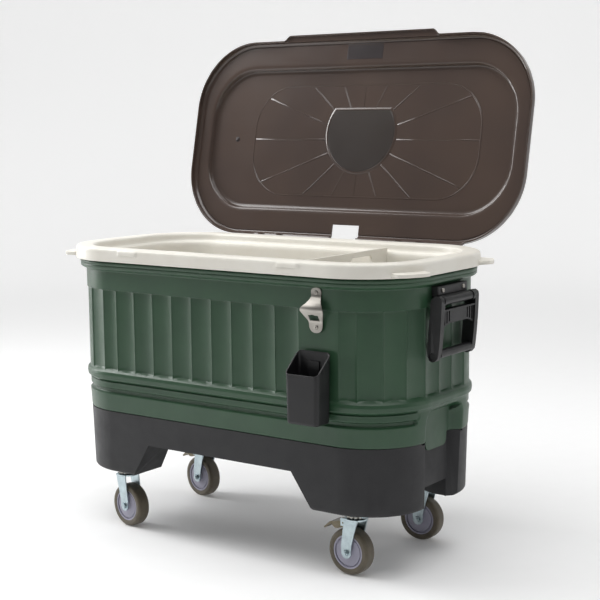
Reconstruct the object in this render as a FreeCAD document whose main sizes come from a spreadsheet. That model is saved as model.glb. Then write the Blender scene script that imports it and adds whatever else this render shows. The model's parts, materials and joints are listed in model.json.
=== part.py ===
import FreeCAD, Part
import math
import os
import Sketcher
from FreeCAD import Placement, Rotation, Vector

# Cooler on wheels, standing with its lid open.  Millimetres, +Z up.
# The pieces are modelled about the middle of the tub, with the lid closed and every
# caster heading along +X.  Their Placements then open the lid, turn the casters and
# bring the middle of the footprint, lid open, to the origin.

doc = FreeCAD.newDocument("CoolerOnWheels")
sheet = doc.addObject("Spreadsheet::Sheet", "dims")

drivingDimensions = [
    ("tubShift", 61.26, "tub middle in front of the origin"),
    ("shellX", 462.0, "shell band, half length"),
    ("shellY", 216.0, "shell band, half width"),
    ("shellCorner", 148.0, "shell band, corner radius"),
    ("shellBottom", 226.3, "underside of the shell"),
    ("shellSeam", 290.0, "where the shell meets the leg base"),
    ("fluteBottom", 388.0, "lower end of the flutes"),
    ("fluteTop", 576.0, "upper end of the flutes"),
    ("fluteDepth", 5.0, "depth of a flute"),
    ("recessWide", 76.0, "end recess, half width at its mouth"),
    ("recessFloor", 438.0, "end recess, distance of its floor from the middle"),
    ("recessTop", 357.0, "end recess, upper edge"),
    ("rimX", 480.0, "rim, half length"),
    ("rimY", 241.5, "rim, half width"),
    ("rimCorner", 166.6, "rim, corner radius"),
    ("rimBottom", 645.3, "lower edge of the rim"),
    ("rimTop", 676.0, "upper face of the rim"),
    ("tubFloor", 277.0, "floor of the tub"),
    ("linerWall", 3.5, "thickness of the liner"),
    ("baseBottom", 142.0, "underside of the legs"),
    ("baseWall", 5.0, "thickness of the leg base"),
    ("lidX", 489.4, "lid, half length"),
    ("lidY", 250.0, "lid, half width"),
    ("lidCorner", 171.0, "lid, corner radius"),
    ("lidBottom", 660.0, "lower edge of the closed lid"),
    ("lidSkirt", 20.3, "height of the lid's skirt"),
    ("lidWall", 3.5, "thickness of the lid"),
    ("lidRise", 13.0, "height of the lid's middle panel"),
    ("lidAngle", 102.1, "how far the lid opens, degrees"),
    ("hingeY", 263.0, "lid hinge, behind the middle"),
    ("hingeX", 205.0, "lid hinges, from the middle"),
    ("pinRadius", 3.0, "lid hinge pin"),
    ("pivotX", 487.0, "handle pivot, from the middle"),
    ("pivotZ", 590.0, "handle pivot, height"),
    ("bailWide", 79.5, "handle, half width"),
    ("armWide", 14.5, "handle, width of an arm"),
    ("casterX", 329.0, "casters, along the length"),
    ("casterY", 147.0, "casters, across the width"),
    ("wheelRadius", 50.8, "caster wheel"),
    ("treadWide", 32.0, "caster wheel, width"),
    ("trail", 12.0, "wheel axle behind the king pin"),
    ("forkTop", 125.0, "top of the fork crown"),
    ("axleRadius", 4.0, "wheel axle"),
    ("dividerX", 196.0, "divider, from the middle"),
    ("dividerWide", 6.0, "divider, thickness"),
    ("binX", 278.0, "catch bin, from the middle"),
    ("binWide", 84.0, "catch bin, width"),
    ("drainZ", 318.0, "drain, height"),
    ("drainBore", 9.0, "drain, radius of the bore"),
]
for row, (alias, value, note) in enumerate(drivingDimensions, start=1):
    sheet.set(f"A{row}", note)
    sheet.set(f"B{row}", str(value))
    sheet.setAlias(f"B{row}", alias)
doc.recompute()

subParts = []


def dim(alias):
    return float(sheet.get(alias))


def bind(target, **sizes):
    """Bind properties of an object to expressions on the sheet."""
    for name, expression in sizes.items():
        target.setExpression(name, expression)


def atTub(turn=None, centre=Vector()):
    """The Placement of a piece that belongs to the tub, turned about a centre."""
    shift = Placement(Vector(0, -dim("tubShift"), 0), Rotation())
    if turn is None:
        return shift
    return shift * Placement(Vector(), turn, centre)


def finish(label, piece, placement=None):
    """Name a finished sub-part and put it in its place."""
    piece.Label = label
    piece.Placement = (placement or atTub()) * piece.Placement
    subParts.append(piece)
    return piece


def feature(name, shape):
    piece = doc.addObject("Part::Feature", name)
    piece.Shape = shape
    return piece


def box(name, size, corner):
    """A Part::Box whose sizes and corner are expressions or numbers."""
    piece = doc.addObject("Part::Box", name)
    bind(piece, Length=str(size[0]), Width=str(size[1]), Height=str(size[2]))
    for axis, value in zip("xyz", corner):
        piece.setExpression(f".Placement.Base.{axis}", str(value))
    return piece


def cylinder(name, radius, height, base, axis=Vector(0, 0, 1)):
    """A Part::Cylinder along an axis, with expressions or numbers for its sizes."""
    piece = doc.addObject("Part::Cylinder", name)
    bind(piece, Radius=str(radius), Height=str(height))
    piece.Placement = Placement(Vector(), Rotation(Vector(0, 0, 1), axis))
    for name, value in zip("xyz", base):
        piece.setExpression(f".Placement.Base.{name}", str(value))
    return piece


def fuse(name, *pieces):
    piece = doc.addObject("Part::MultiFuse", name)
    piece.Shapes = list(pieces)
    return piece


def newBody(name):
    return doc.addObject("PartDesign::Body", name)


def plane(body, role):
    return next(item for item in body.Origin.OriginFeatures if item.Role == role)


def newSketch(body, name, role="XY_Plane", height="0"):
    sketch = body.newObject("Sketcher::SketchObject", name)
    sketch.AttachmentSupport = [(plane(body, role), "")]
    sketch.MapMode = "FlatFace"
    sketch.setExpression(".AttachmentOffset.Base.z", height)
    return sketch


def roundRect(body, name, height, halfX, halfY, corner):
    """A constrained rounded rectangle about the origin, its sizes bound to the sheet."""
    sketch = newSketch(body, name, "XY_Plane", height)
    spanX, spanY, bend = 400.0, 200.0, 100.0
    inX, inY = spanX - bend, spanY - bend
    corners = [(inX, -inY), (inX, inY), (-inX, inY), (-inX, -inY)]
    edges = []
    for turn, (cx, cy) in enumerate(corners):
        start = (turn - 1) * math.pi / 2
        circle = Part.Circle(Vector(cx, cy, 0), Vector(0, 0, 1), bend)
        arc = Part.ArcOfCircle(circle, start, start + math.pi / 2)
        edges.append((arc, arc.StartPoint, arc.EndPoint))
    for turn in range(4):
        arc = edges[turn]
        following = edges[(turn + 1) % 4]
        sketch.addGeometry(arc[0], False)
        sketch.addGeometry(Part.LineSegment(arc[2], following[1]), False)
    for turn in range(8):
        sketch.addConstraint(Sketcher.Constraint("Tangent", turn, 2, (turn + 1) % 8, 1))
    for line in (1, 5):
        sketch.addConstraint(Sketcher.Constraint("Vertical", line))
    for line in (3, 7):
        sketch.addConstraint(Sketcher.Constraint("Horizontal", line))
    for arc in (2, 4, 6):
        sketch.addConstraint(Sketcher.Constraint("Equal", 0, arc))
    sketch.addConstraint(Sketcher.Constraint("Symmetric", 0, 3, 4, 3, -1, 1))
    radius = sketch.addConstraint(Sketcher.Constraint("Radius", 0, bend))
    wide = sketch.addConstraint(Sketcher.Constraint("DistanceX", 5, 1, 1, 1, 2 * spanX))
    deep = sketch.addConstraint(Sketcher.Constraint("DistanceY", 7, 1, 3, 1, 2 * spanY))
    for index, label, value in ((radius, "corner", corner),
                                (wide, "wide", f"2 * ({halfX})"),
                                (deep, "deep", f"2 * ({halfY})")):
        sketch.renameConstraint(index, label)
        sketch.setExpression(f"Constraints.{label}", str(value))
    return sketch


def polygonSketch(body, name, points, role="XZ_Plane", height="0"):
    """A closed outline of straight edges, in the plane's own two directions."""
    sketch = newSketch(body, name, role, height)
    corners = [Vector(a, b, 0) for a, b in points]
    for start, end in zip(corners, corners[1:] + corners[:1]):
        sketch.addGeometry(Part.LineSegment(start, end), False)
    return sketch


def pad(body, sketch, length, reverse=False):
    piece = body.newObject("PartDesign::Pad", sketch.Name + "Pad")
    piece.Profile = sketch
    piece.Reversed = reverse
    piece.setExpression("Length", str(length))
    sketch.Visibility = False
    return piece


def pocket(body, sketch, length, reverse=False):
    piece = body.newObject("PartDesign::Pocket", sketch.Name + "Pocket")
    piece.Profile = sketch
    piece.Reversed = reverse
    piece.setExpression("Length", str(length))
    return piece


def loft(body, first, second, kind="AdditiveLoft"):
    piece = body.newObject("PartDesign::" + kind, first.Name + "Loft")
    piece.Profile = first
    piece.Sections = [second]
    piece.Ruled = True
    return piece


def wallRing(body, name, profile, spine):
    """A wall of one section carried round a closed outline."""
    piece = body.newObject("PartDesign::AdditivePipe", name)
    piece.Profile = profile
    piece.Spine = (spine, [])
    piece.Transition = "Right corner"
    return piece


def prism(points, direction, axis="z"):
    """A solid over a closed outline given in the plane across the axis."""
    place = {"x": lambda a, b: Vector(0, a, b),
             "y": lambda a, b: Vector(a, 0, b),
             "z": lambda a, b: Vector(a, b, 0)}[axis]
    corners = [place(a, b) for a, b in points]
    return Part.Face(Part.makePolygon(corners + corners[:1])).extrude(direction)


def revolve(profile, axis=Vector(0, 1, 0)):
    """A turned solid about Y, from (radius, distance along Y) points."""
    corners = [Vector(radius, along, 0) for radius, along in profile]
    face = Part.Face(Part.makePolygon(corners + corners[:1]))
    return face.revolve(Vector(), axis, 360)


def rounded(shape, radius, keep):
    """Fillet the edges of a shape that a test on the edge keeps."""
    edges = [edge for edge in shape.Edges if keep(edge)]
    return shape.makeFillet(radius, edges)


def upright(edge):
    """True for a straight edge along Z."""
    start, end = edge.Vertexes[0].Point, edge.Vertexes[-1].Point
    return abs(start.x - end.x) < 1e-6 and abs(start.y - end.y) < 1e-6 and abs(start.z - end.z) > 1


# ---------------------------------------------------------------- tub and base

def flutePlaces():
    """Where the ridges between flutes stand, as lengths along the quarter outline."""
    onFront = [57.5 * k for k in range(5)]
    roundCorner = [230 + 50.6 * k for k in range(1, 8)]
    return onFront + roundCorner


def outlinePoint(along, inset=0.0):
    """A point of the fluted outline, a length along it from the middle of the front."""
    halfX, halfY = dim("shellX") - 2, dim("shellY") - 2
    corner = dim("shellCorner") - 2
    straight = halfX - corner
    bend = corner * math.pi / 2
    if along <= straight:
        return Vector(along, -halfY + inset, 0)
    if along <= straight + bend:
        angle = (along - straight) / corner
        reach = corner - inset
        return Vector(straight + reach * math.sin(angle),
                      -(halfY - corner) - reach * math.cos(angle), 0)
    rest = along - straight - bend
    return Vector(halfX - inset, -(halfY - corner) + rest, 0)


def flutedWire(depth):
    """The closed outline with one shallow hollow between each two ridges."""
    quarter = []
    places = flutePlaces()
    for start, end in zip(places, places[1:]):
        quarter.append((outlinePoint(start), outlinePoint((start + end) / 2, depth),
                        outlinePoint(end)))
    arcs = []
    for flipX, flipY in ((1, 1), (1, -1), (-1, -1), (-1, 1)):
        side = [tuple(Vector(p.x * flipX, p.y * flipY, 0) for p in arc) for arc in quarter]
        arcs += side if flipX * flipY > 0 else [arc[::-1] for arc in side[::-1]]
        if flipX * flipY > 0:
            last = side[-1][-1]
            arcs.append((last, Vector(last.x - flipX * depth, 0, 0), Vector(last.x, -last.y, 0)))
    return arcs


def makeShell():
    body = newBody("OuterShell")
    bottom = dim("shellBottom")
    seam = dim("shellSeam")
    low, high = dim("fluteBottom"), dim("fluteTop")
    outer = [(-14, bottom), (-14, seam - 0.6), (-4, seam), (-2, seam + 40), (-9, seam + 43),
             (-9, seam + 54), (-2, seam + 57), (-2, seam + 68), (-6, seam + 70),
             (-6, seam + 73), (3, seam + 77), (4, seam + 92), (-2, low),
             (-2, high), (0, high + 1), (0, 621), (13, 625), (15, 632), (15, 641),
             (11, 645)]
    inner = [(7, 645), (7, 628), (-4, 621), (-4, high + 6), (-10.3, high), (-10.3, low), (-12.5, low - 4),
             (-12.5, seam + 4),
             (-18, seam - 4), (-18, bottom)]
    edge = dim("shellX")
    points = [(edge + shift, height) for shift, height in outer + inner]
    section = polygonSketch(body, "ShellSection", points)
    path = roundRect(body, "ShellPath", "0", "dims.shellX", "dims.shellY", "dims.shellCorner")
    wallRing(body, "ShellWall", section, path)
    inX, inY, bend = "dims.shellX - 15", "dims.shellY - 15", "dims.shellCorner - 15"
    pad(body, roundRect(body, "ShellFloor", "dims.shellBottom", inX, inY, bend), "4")
    doc.recompute()
    scallops = newSketch(body, "Flutes", "XY_Plane", "dims.fluteBottom")
    for start, middle, end in flutedWire(dim("fluteDepth")):
        scallops.addGeometry(Part.Arc(start, middle, end), False)
    border = roundRectEdges(dim("shellX") + 20, dim("shellY") + 20, dim("shellCorner") + 20)
    for edge in border:
        scallops.addGeometry(edge, False)
    pocket(body, scallops, "dims.fluteTop - dims.fluteBottom", reverse=True)
    doc.recompute()
    shell = shapeWithRecesses(body.Shape)
    for hole in shellHoles():
        shell = shell.cut(hole)
    return finish("outer_shell", feature("OuterShellTrimmed", shell))


def roundRectEdges(halfX, halfY, corner):
    """The eight edges of a rounded rectangle about the origin."""
    inX, inY = halfX - corner, halfY - corner
    arcs = []
    for turn, (cx, cy) in enumerate([(inX, -inY), (inX, inY), (-inX, inY), (-inX, -inY)]):
        start = (turn - 1) * math.pi / 2
        circle = Part.Circle(Vector(cx, cy, 0), Vector(0, 0, 1), corner)
        arcs.append(Part.ArcOfCircle(circle, start, start + math.pi / 2))
    edges = []
    for turn, arc in enumerate(arcs):
        edges += [arc, Part.LineSegment(arc.EndPoint, arcs[(turn + 1) % 4].StartPoint)]
    return edges


def recessTool(floor, inner, outer, low, high, reach=30.0):
    """A wedge that widens outwards from the floor of an end recess."""
    mouth = dim("shellX") - 4
    slope = (outer - inner) / (mouth - floor)
    far = inner + slope * (mouth + reach - floor)
    points = [(floor, -inner), (mouth + reach, -far), (mouth + reach, far), (floor, inner)]
    wedge = prism(points, Vector(0, 0, high - low))
    wedge.translate(Vector(0, 0, low))
    return wedge


def archTool(floor, inner, outer, low, top, reach=30.0):
    """An end recess with an arched head, widening outwards from its floor."""
    mouth = dim("shellX") - 4
    slope = (outer - inner) / (mouth - floor)
    wires = []
    for x, half in ((floor, inner), (mouth + reach, inner + slope * (mouth + reach - floor))):
        bend = half * 0.4
        side = [(half, low), (half, top - bend), (half - 0.1 * bend, top - 0.6 * bend),
                (half - 0.35 * bend, top - 0.2 * bend), (half - bend, top)]
        outline = side + [(-y, z) for y, z in side[::-1]]
        corners = [Vector(x, y, z) for y, z in outline]
        wires.append(Part.makePolygon(corners + corners[:1]))
    return Part.makeLoft(wires, True, True)


def mirrorX(shape):
    return shape.mirror(Vector(), Vector(1, 0, 0))


def shapeWithRecesses(shell):
    """Cut the two end recesses, leaving a wall behind each, and hang the end tongues."""
    floor, wide = dim("recessFloor"), dim("recessWide")
    seam, bottom, top = dim("shellSeam"), dim("shellBottom"), dim("recessTop")
    inner = wide - 26
    back = Part.makeBox(22, 2 * wide + 16, top + 4 - seam + 4,
                        Vector(floor - 4, -wide - 8, seam - 4))
    neck = Part.makeBox(22, 2 * wide + 16, seam - bottom,
                        Vector(floor - 12.5, -wide - 8, bottom))
    mouth = archTool(floor, inner, wide, seam - 0.5, top)
    waist = recessTool(floor - 9.4, inner + 4.5, wide + 10, bottom - 1, seam - 0.3)
    tongue = prism([(-44, seam + 8), (-44, seam - 10), (-26, seam - 28), (26, seam - 28),
                    (44, seam - 10), (44, seam + 8)], Vector(3.6, 0, 0), "x")
    tongue = rounded(tongue, 14, lambda e: e.BoundBox.XLength > 3 and e.BoundBox.ZMax < seam)
    tongue.translate(Vector(floor - 3.6, 0, 0))
    for end in (lambda s: s, mirrorX):
        shell = shell.fuse([end(back), end(neck)])
        shell = shell.cut([end(mouth), end(waist)])
        shell = shell.fuse(end(tongue))
    return shell.removeSplitter()


def hollowTool(halfX, halfY, corner, low, high):
    wire = Part.Wire([edge.toShape() for edge in roundRectEdges(halfX, halfY, corner)])
    solid = Part.Face(wire).extrude(Vector(0, 0, high - low))
    solid.translate(Vector(0, 0, low))
    return solid


def shellHoles():
    """The drain hole through the left end, as a tool."""
    return [drainHole()]


def drainHole(extra=0.0):
    radius = dim("drainBore") + 4.3 + extra
    return Part.makeCylinder(radius, 120, Vector(-340, 0, dim("drainZ")), Vector(-1, 0, 0))


def makeLiner():
    body = newBody("InnerLiner")
    wall = dim("linerWall")
    top, low = dim("rimTop"), dim("rimBottom")
    floor = dim("tubFloor")
    edge = dim("rimX")
    outer = [(0, low), (0, top - 9), (-3, top - 3), (-9, top), (-40, top), (-46, top - 5),
             (-60, top - 36), (-78, floor)]
    inner = [(-78, floor - wall)]
    under = [(-74.5, floor - wall), (-56.5, top - 38), (-43, top - 8), (-40, top - wall),
             (-10, top - wall), (-5.5, top - 6), (-wall, top - 10), (-wall, low)]
    points = [(edge + shift, height) for shift, height in outer + inner + under]
    section = polygonSketch(body, "LinerSection", points)
    path = roundRect(body, "LinerPath", "0", "dims.rimX", "dims.rimY", "dims.rimCorner")
    wallRing(body, "LinerWall", section, path)
    sizes = ["dims.rimX - 76", "dims.rimY - 76", "dims.rimCorner - 76"]
    floorSketch = roundRect(body, "LinerFloor", "dims.tubFloor - dims.linerWall", *sizes)
    pad(body, floorSketch, "dims.linerWall")
    doc.recompute()
    shape = body.Shape.fuse(cornerEars() + dividerGuides())
    shape = shape.cut(drainHole(-1.0))
    return finish("inner_liner", feature("InnerLinerTrimmed", shape.removeSplitter()))


def cornerEars():
    """Four flat lifting ears, one on each corner of the rim."""
    corner = dim("rimCorner")
    middle = Vector(dim("rimX") - corner, dim("rimY") - corner, 0)
    ear = Part.makeBox(32, 76, 7, Vector(corner - 2.5, -38, dim("rimBottom") + 4))
    ear = rounded(ear, 18, lambda e: upright(e) and e.Vertexes[0].Point.x > corner + 20)
    ear.rotate(Vector(), Vector(0, 0, 1), 27)
    ear.translate(middle)
    ears = [ear, mirrorX(ear)]
    return ears + [shape.mirror(Vector(), Vector(0, 1, 0)) for shape in ears]


def tubHalfWidth(height, inset=0.0):
    """Half the width of the tub inside, at a height below its flared mouth."""
    top, floor = dim("rimTop") - 36, dim("tubFloor")
    share = (height - floor) / (top - floor)
    return dim("rimY") - 78 + 18 * share - inset


def dividerGuides():
    """Four upright ribs that hold the divider, two on each long wall."""
    low, high = dim("tubFloor") + 12, dim("rimTop") - 70
    thick = 5.0
    gap = dim("dividerWide") / 2 + 0.6
    guides = []
    points = [(tubHalfWidth(low, -1), low), (tubHalfWidth(low, 9), low),
              (tubHalfWidth(high, 9), high), (tubHalfWidth(high, -1), high)]
    for side in (-1, 1):
        for start in (-gap - thick, gap):
            rib = prism([(side * y, z) for y, z in points], Vector(thick, 0, 0), "x")
            rib.translate(Vector(dim("dividerX") + start, 0, 0))
            guides.append(rib)
    return guides


def makeFoam():
    body = newBody("Foam")
    outside = ["dims.shellX - 13", "dims.shellY - 13", "dims.shellCorner - 13"]
    block = roundRect(body, "FoamBlock", "dims.shellBottom + 4.3", *outside)
    pad(body, block, "620 - dims.shellBottom - 4.3")
    upper = roundRect(body, "FoamTop", "620.5", "dims.rimX - 57", "dims.rimY - 57",
                      "dims.rimCorner - 57")
    lower = roundRect(body, "FoamFloor", "dims.tubFloor - dims.linerWall - 0.3",
                      "dims.rimX - 74.2", "dims.rimY - 74.2", "dims.rimCorner - 74.2")
    loft(body, lower, upper, "SubtractiveLoft")
    doc.recompute()
    shape = body.Shape
    floor, wide = dim("recessFloor"), dim("recessWide")
    notch = Part.makeBox(60, 2 * wide + 17, dim("recessTop") + 4.4,
                         Vector(floor - 4.4, -wide - 8.5, 0))
    neck = Part.makeBox(60, 2 * wide + 17, dim("shellSeam") + 0.3,
                        Vector(floor - 12.9, -wide - 8.5, 0))
    below = hollowTool(600, 400, 50, 0, dim("shellSeam") + 4.4)
    neckInside = hollowTool(dim("shellX") - 18.3, dim("shellY") - 18.3,
                            dim("shellCorner") - 18.3, 0, dim("shellSeam") + 5)
    for end in (lambda s: s, mirrorX):
        shape = shape.cut([end(notch), end(neck)])
    shape = shape.cut(below.cut(neckInside))
    shape = shape.cut(drainHole(0.3))
    return finish("insulation_foam", feature("FoamTrimmed", shape.removeSplitter()))


def legPlan(grow, level):
    """The cross-shaped gap between the four legs, at the floor of the legs or at their top."""
    front, inside, slot = ((256, 108, 52), (203, 124, 46))[level]
    reach = 430 - 4 * level
    quarter = [(front + grow, 260), (front + grow, inside + grow), (reach - 30, slot + grow),
               (reach, slot + grow)]
    points = quarter + [(x, -y) for x, y in quarter[::-1]]
    points += [(-x, -y) for x, y in quarter] + [(-x, y) for x, y in quarter[::-1]]
    return points


def legGap(grow, low, high):
    """The open space between the legs, widening downwards."""
    wires = []
    for level, height in ((0, low), (1, high)):
        corners = [Vector(x, y, height) for x, y in legPlan(grow, level)]
        wires.append(Part.makePolygon(corners + corners[:1]))
    return Part.makeLoft(wires, True, True)


def taperedBlock(inset, low, high):
    """The outline of the leg base between two heights, narrowing downwards."""
    seam, bottom = dim("shellSeam"), dim("baseBottom")
    wires = []
    for height in (low, high):
        share = (height - bottom) / (seam - bottom)
        halfX = 451 + 4.5 * share - inset
        halfY = 205.5 + 7 * share - inset
        corner = 132 + 9 * share - inset
        edges = [edge.toShape() for edge in roundRectEdges(halfX, halfY, corner)]
        wire = Part.Wire(edges)
        wire.translate(Vector(0, 0, height))
        wires.append(wire)
    return Part.makeLoft(wires, True, True)


def makeBase():
    """A moulded tray that carries the shell, on four hollow legs."""
    seam, bottom, wall = dim("shellSeam"), dim("baseBottom"), dim("baseWall")
    tray = dim("shellBottom") - 0.3
    floor, wide = dim("recessFloor") - 4, dim("recessWide")
    inner = wide - 24
    outside = taperedBlock(0, bottom, seam - 0.8)
    outside = rounded(outside, 9, lambda e: e.BoundBox.ZMax < bottom + 0.1)
    for end in (lambda s: s, mirrorX):
        outside = outside.cut(end(recessTool(floor, inner, wide + 2, bottom - 5, seam + 1)))
    hollow = taperedBlock(wall, tray, seam + 1)
    cups = taperedBlock(wall, bottom + wall, tray + 1)
    cups = cups.cut(legGap(wall, bottom - 2, tray + 2))
    slot = Part.makeBox(120, 2 * 52 + 2 * wall, 100, Vector(380, -52 - wall, bottom - 1))
    for end in (lambda s: s, mirrorX):
        backing = recessTool(floor - wall, inner + 1.2, wide + 3.2 + wall, bottom - 5, seam + 5)
        hollow = hollow.cut(end(backing))
        cups = cups.cut([end(backing), end(slot)])
    base = outside.cut(legGap(0, bottom - 2, tray - wall))
    slot = Part.makeBox(80, 2 * 50, 182 - bottom + 1, Vector(400, -50, bottom - 1))
    base = base.cut([slot, mirrorX(slot)])
    base = base.cut([hollow, cups])
    reliefs = [Part.makeBox(10, 8.5, 6, Vector(449.4, y, seam - 4.6)) for y in (-85.2, 76.7)]
    base = base.cut(reliefs + [mirrorX(relief) for relief in reliefs])
    holes = [Part.makeCylinder(3.2, 12, point + Vector(0, 0, bottom - 2))
             for point in plateHoles()]
    return finish("leg_base", feature("LegBase", base.cut(holes).removeSplitter()))


# ---------------------------------------------------------------- lid and hinges

def makeLid():
    body = newBody("Lid")
    size = ["dims.lidX", "dims.lidY", "dims.lidCorner"]
    pad(body, roundRect(body, "LidOutline", "dims.lidBottom", *size), "dims.lidSkirt")
    inset = [f"{name} - dims.lidWall" for name in size]
    pocket(body, roundRect(body, "LidInside", "dims.lidBottom", *inset),
           "dims.lidSkirt - dims.lidWall", reverse=True)
    raised = [f"{name} - 31" for name in size]
    pad(body, roundRect(body, "LidPanel", "dims.lidBottom + dims.lidSkirt", *raised),
        "dims.lidRise")
    under = [f"{name} - 34" for name in size]
    pocket(body, roundRect(body, "LidPanelInside", "dims.lidBottom + dims.lidSkirt - 4", *under),
           "dims.lidRise + 0.5", reverse=True)
    doc.recompute()
    low, halfY = dim("lidBottom"), dim("lidY")
    pull = prism([(-229, halfY - 3), (-210, halfY + 13), (210, halfY + 13), (229, halfY - 3)],
                 Vector(0, 0, 7))
    pull = pull.mirror(Vector(), Vector(0, 1, 0))
    pull.translate(Vector(0, 0, low))
    shape = body.Shape.fuse([pull] + lidKnuckles())
    gap = Part.makeBox(79, 53, 23, Vector(-27, halfY - 35, low - 1))
    shape = shape.cut([gap] + pinHoles())
    return finish("lid", feature("LidTrimmed", shape.removeSplitter()), openLid())


def openLid():
    """Closed lid to open lid: a turn back about the hinge pins."""
    centre = Vector(0, dim("hingeY"), dim("lidBottom"))
    return atTub(Rotation(Vector(1, 0, 0), -dim("lidAngle")), centre)


def hingePlaces():
    return (-dim("hingeX"), dim("hingeX"))


def lidKnuckles():
    """Two knuckles for each hinge, joined to the back of the lid's skirt."""
    knuckles = []
    axis, low, back = dim("hingeY"), dim("lidBottom"), dim("lidY")
    for middle in hingePlaces():
        for start in (middle - 38, middle + 20):
            barrel = Part.makeCylinder(8, 18, Vector(start, axis, low), Vector(1, 0, 0))
            arm = Part.makeBox(18, axis - back + 3, 8, Vector(start, back - 3, low))
            knuckles += [barrel, arm]
    return knuckles


def pinHoles():
    """The bores of the two hinge pins, with a running fit."""
    radius = dim("pinRadius") + 0.05
    return [Part.makeCylinder(radius, 90, Vector(middle - 45, dim("hingeY"), dim("lidBottom")),
                              Vector(1, 0, 0)) for middle in hingePlaces()]


def makeHinges():
    """A bracket, a pin and two screws at each hinge, behind the rim."""
    axis, low = dim("hingeY"), dim("lidBottom")
    front = dim("shellY") + 15.3
    screws = []
    for side, middle in zip(("left", "right"), hingePlaces()):
        barrel = Part.makeCylinder(8, 39.4, Vector(middle - 19.7, axis, low), Vector(1, 0, 0))
        plate = Part.makeBox(39.4, 4, 50, Vector(middle - 19.7, front + 11, 604))
        foot = Part.makeBox(39.4, 15, 14, Vector(middle - 19.7, front, 624))
        web = Part.makeBox(39.4, axis + 4 - front - 11, 10, Vector(middle - 19.7, front + 11, 648))
        bracket = barrel.fuse([plate, foot, web])
        holes = [Part.makeCylinder(3.2, 60, Vector(middle + dx, front - 1, 631), Vector(0, 1, 0))
                 for dx in (-11, 11)]
        bracket = bracket.cut(holes + pinHoles()).removeSplitter()
        finish(f"lid_hinge_bracket_{side}", feature(f"HingeBracket{side.title()}", bracket))
        pin = cylinder(f"HingePin{side.title()}", "dims.pinRadius", 80,
                       (middle - 40, "dims.hingeY", "dims.lidBottom"), Vector(1, 0, 0))
        heads = box(f"HingePinHead{side.title()}", (2.5, 8, 8),
                    (middle - 42.5, "dims.hingeY - 4", "dims.lidBottom - 4"))
        pinWithHead = fuse(f"HingePinWhole{side.title()}", pin, heads)
        finish(f"lid_hinge_pin_{side}", pinWithHead)
        for dx in (-11, 11):
            screws.append(screw(Vector(middle + dx, front + 15.2, 631), Vector(0, -1, 0), 3, 30))
    finish("lid_hinge_screws", feature("HingeScrews", Part.makeCompound(screws)))


def screw(seat, into, radius, length, head=5.5, rise=3.0):
    """A pan-head screw: seat is the face under its head, into is where its shank goes."""
    shank = Part.makeCylinder(radius, length, seat, into)
    cap = Part.makeCylinder(head, rise, seat, into * -1)
    rim = [edge for edge in cap.Edges if (edge.BoundBox.Center - seat).Length > rise * 0.9]
    cap = cap.makeFillet(rise * 0.6, rim[:1])
    slot = Part.makeBox(2.0, 2.0, 3.0, Vector(-1, -1, -1.5))
    slot.Placement = Placement(seat - into * rise, Rotation(Vector(0, 0, 1), into))
    return shank.fuse(cap).cut(slot)


# ---------------------------------------------------------------- handles

def makeHandles():
    for side, end in (("left", mirrorX), ("right", lambda s: s)):
        title = side.title()
        finish(f"handle_bracket_{side}", feature(f"HandleBracket{title}", end(handleBracket())))
        finish(f"handle_bail_{side}", feature(f"HandleBail{title}", end(handleBail())))
        finish(f"handle_pin_{side}", feature(f"HandlePin{title}", end(handlePin())))
        finish(f"handle_screws_{side}", feature(f"HandleScrews{title}", end(handleScrews())))


def handleBracket():
    """A block on the end of the shell that carries the fixed half of the pivot."""
    pivotX, pivotZ = dim("pivotX"), dim("pivotZ")
    inside = dim("bailWide") - dim("armWide") - 9
    back = dim("shellX") + 0.3
    block = Part.makeBox(15.5, 124, 20, Vector(back, -62, 599))
    block = rounded(block, 3, lambda e: e.BoundBox.XMin > back + 15)
    neck = Part.makeBox(pivotX - back, 2 * inside, 18, Vector(back, -inside, 582))
    barrel = Part.makeCylinder(9.5, 2 * inside, Vector(pivotX, -inside, pivotZ), Vector(0, 1, 0))
    bore = Part.makeCylinder(4.05, 160, Vector(pivotX, -80, pivotZ), Vector(0, 1, 0))
    holes = [Part.makeCylinder(2.6, 30, Vector(back - 5, y, 610), Vector(1, 0, 0))
             for y in (-43, 43)]
    return block.fuse([neck, barrel]).cut([bore] + holes).removeSplitter()


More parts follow.
